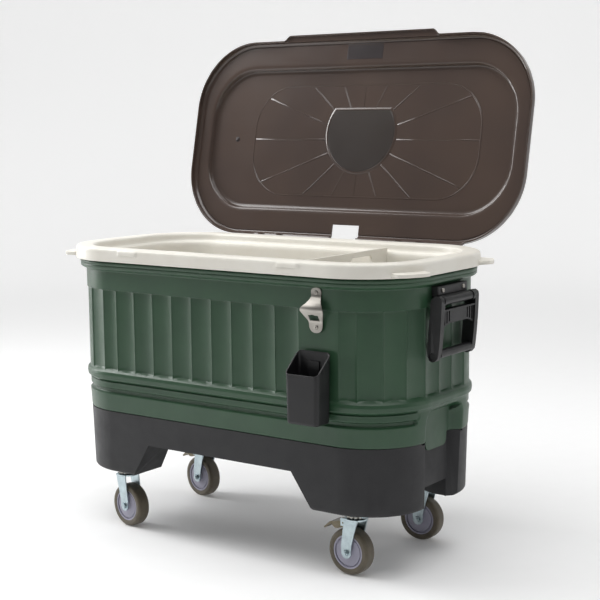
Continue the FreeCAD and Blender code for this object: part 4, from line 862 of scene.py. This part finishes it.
openerSizes = {
    "middle": 280.0, "front": -216.4, "thick": 2.2,
    "crown": 0.003,  # per mm, how fast the folded ridge rounds away from its middle
    # height, left and right reach of the outline, how far the plate stands out
    "rows": [(621.6, -2, 2, 0.0), (620.6, -6.6, 6.6, 0.0), (618.4, -10.2, 10.2, 0.0),
             (615.0, -12.6, 12.6, 0.0), (611.0, -13.2, 13.2, 0.0), (606.0, -12.4, 12.6, 0.4),
             (601.0, -11.8, 13.0, 2.0), (595.0, -13.5, 15.0, 6.2),
             (589.0, -18.5, 18.0, 10.6), (583.5, -26.5, 21.5, 14.0),
             (580.0, -31.5, 23.6, 15.4), (576.5, -33.6, 24.6, 15.8), (573.0, -33.6, 24.8, 15.0),
             (570.0, -31.5, 24.0, 13.2), (566.0, -27.5, 22.6, 10.8), (561.5, -24.0, 20.8, 7.8),
             (557.0, -21.0, 18.8, 5.0), (553.5, -19.2, 17.6, 3.2), (549.0, -17.6, 16.8, 2.2),
             (544.0, -17.0, 16.6, 2.0), (538.5, -16.4, 16.0, 2.0), (534.0, -14.2, 14.2, 2.0),
             (530.5, -11.0, 11.2, 2.0), (528.4, -7.0, 7.2, 2.0), (527.4, -2.4, 2.6, 2.0)],
    "mouth": (553.5, 566.0, -14.0, 10.5),
}


def makeOpener():
    # bent plate: rows across the outline, each standing out by its own amount, with the mouth left open
    w = openerSizes
    table = np.array(w["rows"], float)
    fine = np.unique(np.concatenate([np.linspace(0, len(table) - 1, 73), np.arange(len(table))]))
    index = np.arange(len(table))
    z, left, right, out = (np.interp(fine, index, table[:, k]) for k in range(4))
    low, high, mouthLeft, mouthRight = w["mouth"]
    span = np.linspace(0, 1, 15)
    # the columns bend round the mouth: across it they are pinned to its two ends
    ends = np.array([[l, mouthLeft, mouthRight, r] for l, r in zip(left, right)])
    evenly = left[:, None] + (right - left)[:, None] * span[None]
    pinned = np.stack([np.interp(span, [0, 3 / 14, 11 / 14, 1], row) for row in ends])
    pull = step(z, 545, low) * (1 - step(z, high, 574))
    x = evenly * (1 - pull[:, None]) + pinned * pull[:, None]
    y = w["front"] - np.repeat(out[:, None], x.shape[1], 1)
    # the plate lies flat against the shell, and is rounded a little across its folded ridge
    y = y + w["crown"] * x ** 2 * step(out, 6, 15)[:, None]
    rows, cols = x.shape
    grid = np.stack([x + w["middle"], y, np.repeat(z[:, None], cols, 1)], -1)
    slopeZ = np.gradient(y, axis=0) / np.gradient(grid[..., 2], axis=0)
    normal = np.stack([np.zeros_like(x), -np.ones_like(x), slopeZ], -1)
    normal /= np.linalg.norm(normal, axis=-1, keepdims=True)
    back, face = grid, grid + normal * w["thick"]
    keep = np.ones((rows - 1, cols - 1), bool)
    zMiddle = (z[:-1] + z[1:]) / 2
    for c in range(3, 11):
        keep[:, c] &= ~((zMiddle > low) & (zMiddle < high + (1.5 if c in (5, 6, 7) else 0.0)))
    at = np.arange(rows * cols).reshape(rows, cols)
    a, b, c, d = at[:-1, :-1], at[:-1, 1:], at[1:, 1:], at[1:, :-1]
    far = rows * cols
    wide = np.pad(keep, 1)
    parts = [(keep, (a, d, c, b)), (keep, (a + far, b + far, c + far, d + far)),
             (keep & ~wide[:-2, 1:-1], (a, b, b + far, a + far)),
             (keep & ~wide[2:, 1:-1], (d, d + far, c + far, c)),
             (keep & ~wide[1:-1, :-2], (a, a + far, d + far, d)),
             (keep & ~wide[1:-1, 2:], (b, c, c + far, b + far))]
    faces = [face for mask, corners in parts for face in np.stack(corners, -1)[mask].tolist()]
    points = np.concatenate([back.reshape(-1, 3), face.reshape(-1, 3)])
    piece = putMesh("opener_plate", tubSpace(points), faces, 40)
    makeFacesPointOut(piece)
    piece.data.set_sharp_from_angle(angle=math.radians(40))
    bevel = piece.modifiers.new("edges", "BEVEL")
    bevel.width, bevel.segments = 0.0004, 2
    bevel.limit_method, bevel.angle_limit = "ANGLE", math.radians(45)
    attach(piece, "cooler_body")
    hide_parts("bottle_opener")
    piece.data.materials.append(stainlessSteel)


makeOpener()
print("opener made")


# nodes kept from the frame, with finishes

softened = {
    # node: edge radius in mm, finish
    "leg_base": (2.2, charcoalPolypropylene),
    "handle_bracket_left": (1.6, blackAbs), "handle_bracket_right": (1.6, blackAbs),
    "handle_bail_left": (1.8, blackAbs), "handle_bail_right": (1.8, blackAbs),
    "lid_hinge_bracket_left": (1.0, blackAbs), "lid_hinge_bracket_right": (1.0, blackAbs),
    "divider": (1.2, whitePolypropylene),
}
for node, (width, material) in softened.items():
    piece = softenedCopy(node, width)
    piece.data.materials.append(material)

slotFinish = {
    "green_shell": greenPolyethylene, "white_liner": whitePolypropylene, "foam": foamMaterial,
    "black_base": charcoalPolypropylene, "smoke_lid": smokePlastic, "black_trim": blackAbs,
    "stainless": stainlessSteel, "zinc_steel": zincSteel, "brake_steel": brakeSteel,
    "hub_plastic": greyHub, "tyre_rubber": tyreRubber, "black_rubber": blackRubber,
}
slotOf = {row["node"]: row["material_slot"] for row in frame["record"]["subparts"]}
for node, piece in frame["nodes"].items():
    piece.data.materials.clear()
    piece.data.materials.append(slotFinish[slotOf[node]])
    piece.data.polygons.foreach_set("use_smooth", [True] * len(piece.data.polygons))
    piece.data.set_sharp_from_angle(angle=math.radians(32))
print("finishes given to the nodes")


# floor, light and camera

studioSizes = {
    "near": 4.6, "flat": 5.0, "curve": 4.0, "top": 14.0, "half": 16.0,  # m
    "world": 0.13,
}


def glowingPaperFloor():
    # seamless studio paper, matt and near white; it glows with painted light of its own, more strongly
    # further away
    material, tree, shader, mm = newMaterial("pale seamless paper with painted glow", {"Roughness": 0.9})
    fibre = addNode(tree, "ShaderNodeTexNoise", {"Scale": 0.02, "Detail": 4.0}, {"Vector": mm})
    tone = addNode(tree, "ShaderNodeMix",
                   {"data_type": "RGBA", 6: toLinear("#f1f1f1"), 7: toLinear("#eeeeee")},
                   {0: fibre.outputs["Fac"]})
    tree.links.new(tone.outputs[2], shader.inputs["Base Color"])
    shader.inputs["Emission Color"].default_value = toLinear("#ffffff")
    # painted glow: the paper gives off light, from 0.08 near the cooler to 0.5 far away, which also lights
    # the cooler and shows in its reflections
    away = addNode(tree, "ShaderNodeVectorMath", {"operation": "LENGTH"}, {"Vector": mm})
    glow = addNode(tree, "ShaderNodeMapRange",
                   {"interpolation_type": "SMOOTHSTEP", "From Min": 900.0, "From Max": 8000.0,
                    "To Min": 0.08, "To Max": 0.5}, {"Value": away.outputs["Value"]})
    tree.links.new(glow.outputs["Result"], shader.inputs["Emission Strength"])
    return material


def makeStudio():
    # a sheet that lies flat under the cooler and curves up behind it
    w = studioSizes
    bend = np.linspace(0, math.pi / 2, 16)[1:]
    depth = np.concatenate([np.linspace(-w["near"], w["flat"], 20), w["flat"] + w["curve"] * np.sin(bend)])
    rise = np.concatenate([np.zeros(20), w["curve"] * (1 - np.cos(bend))])
    depth = np.append(depth, w["flat"] + w["curve"])
    rise = np.append(rise, w["top"])
    across = np.linspace(-w["half"], w["half"], 24)
    acrossGrid, depthGrid = np.meshgrid(across, depth)
    riseGrid = np.repeat(rise[:, None], len(across), 1)
    turn = math.radians(cameraPlace["azimuth"])
    x = acrossGrid * math.cos(turn) - depthGrid * math.sin(turn)
    y = acrossGrid * math.sin(turn) + depthGrid * math.cos(turn)
    grid = np.stack([x, y, riseGrid], -1) * 1000
    floor = putMesh("studio_sheet", grid.reshape(-1, 3), gridFaces(*grid.shape[:2]))
    floor.data.materials.append(glowingPaperFloor())


lightSizes = [
    # name, width and height in m, place, aimed at, strength in watts
    ("keyLeft", 2.2, 2.2, (-3.4, -1.8, 3.8), (0, 0, 0.4), 80),
    ("topSoft", 4.0, 4.0, (0.9, -0.6, 4.6), (0.3, 0, 0.4), 165),
    ("stripLeft", 0.5, 2.6, (-2.6, -0.5, 1.6), (0, 0, 0.9), 45),
    ("edgeRight", 0.7, 2.2, (3.4, 1.5, 1.6), (0.2, 0, 0.5), 12),
]


def makeLights():
    for name, wide, high, place, aim, watts in lightSizes:
        light = bpy.data.lights.new(name, "AREA")
        light.shape, light.size, light.size_y, light.energy = "RECTANGLE", wide, high, watts
        holder = bpy.data.objects.new(name, light)
        bpy.context.scene.collection.objects.link(holder)
        holder.location = place
        holder.rotation_euler = (Vector(aim) - Vector(place)).to_track_quat("-Z", "Y").to_euler()
    world = bpy.data.worlds.new("softRoom")
    world.use_nodes = True
    world.node_tree.nodes["Background"].inputs["Color"].default_value = toLinear("#ffffff")
    world.node_tree.nodes["Background"].inputs["Strength"].default_value = studioSizes["world"]
    bpy.context.scene.world = world
    bpy.context.scene.view_settings.view_transform = "Standard"


cameraPlace = {
    "location": (1.8778, -2.54866, 0.9734),  # m
    "azimuth": 35.84, "down": 7.74, "roll": -0.57,  # degrees
    "lens": 81.74,  # mm
}


def makeCamera():
    data = bpy.data.cameras.new("studioCamera")
    data.sensor_width, data.lens = 36.0, cameraPlace["lens"]
    camera = bpy.data.objects.new("studioCamera", data)
    bpy.context.scene.collection.objects.link(camera)
    turn = (Matrix.Rotation(math.radians(cameraPlace["azimuth"]), 4, "Z")
            @ Matrix.Rotation(math.radians(90 - cameraPlace["down"]), 4, "X")
            @ Matrix.Rotation(math.radians(cameraPlace["roll"]), 4, "Z"))
    camera.matrix_world = Matrix.Translation(cameraPlace["location"]) @ turn
    bpy.context.scene.camera = camera


makeStudio()
makeLights()
makeCamera()
print("studio made")
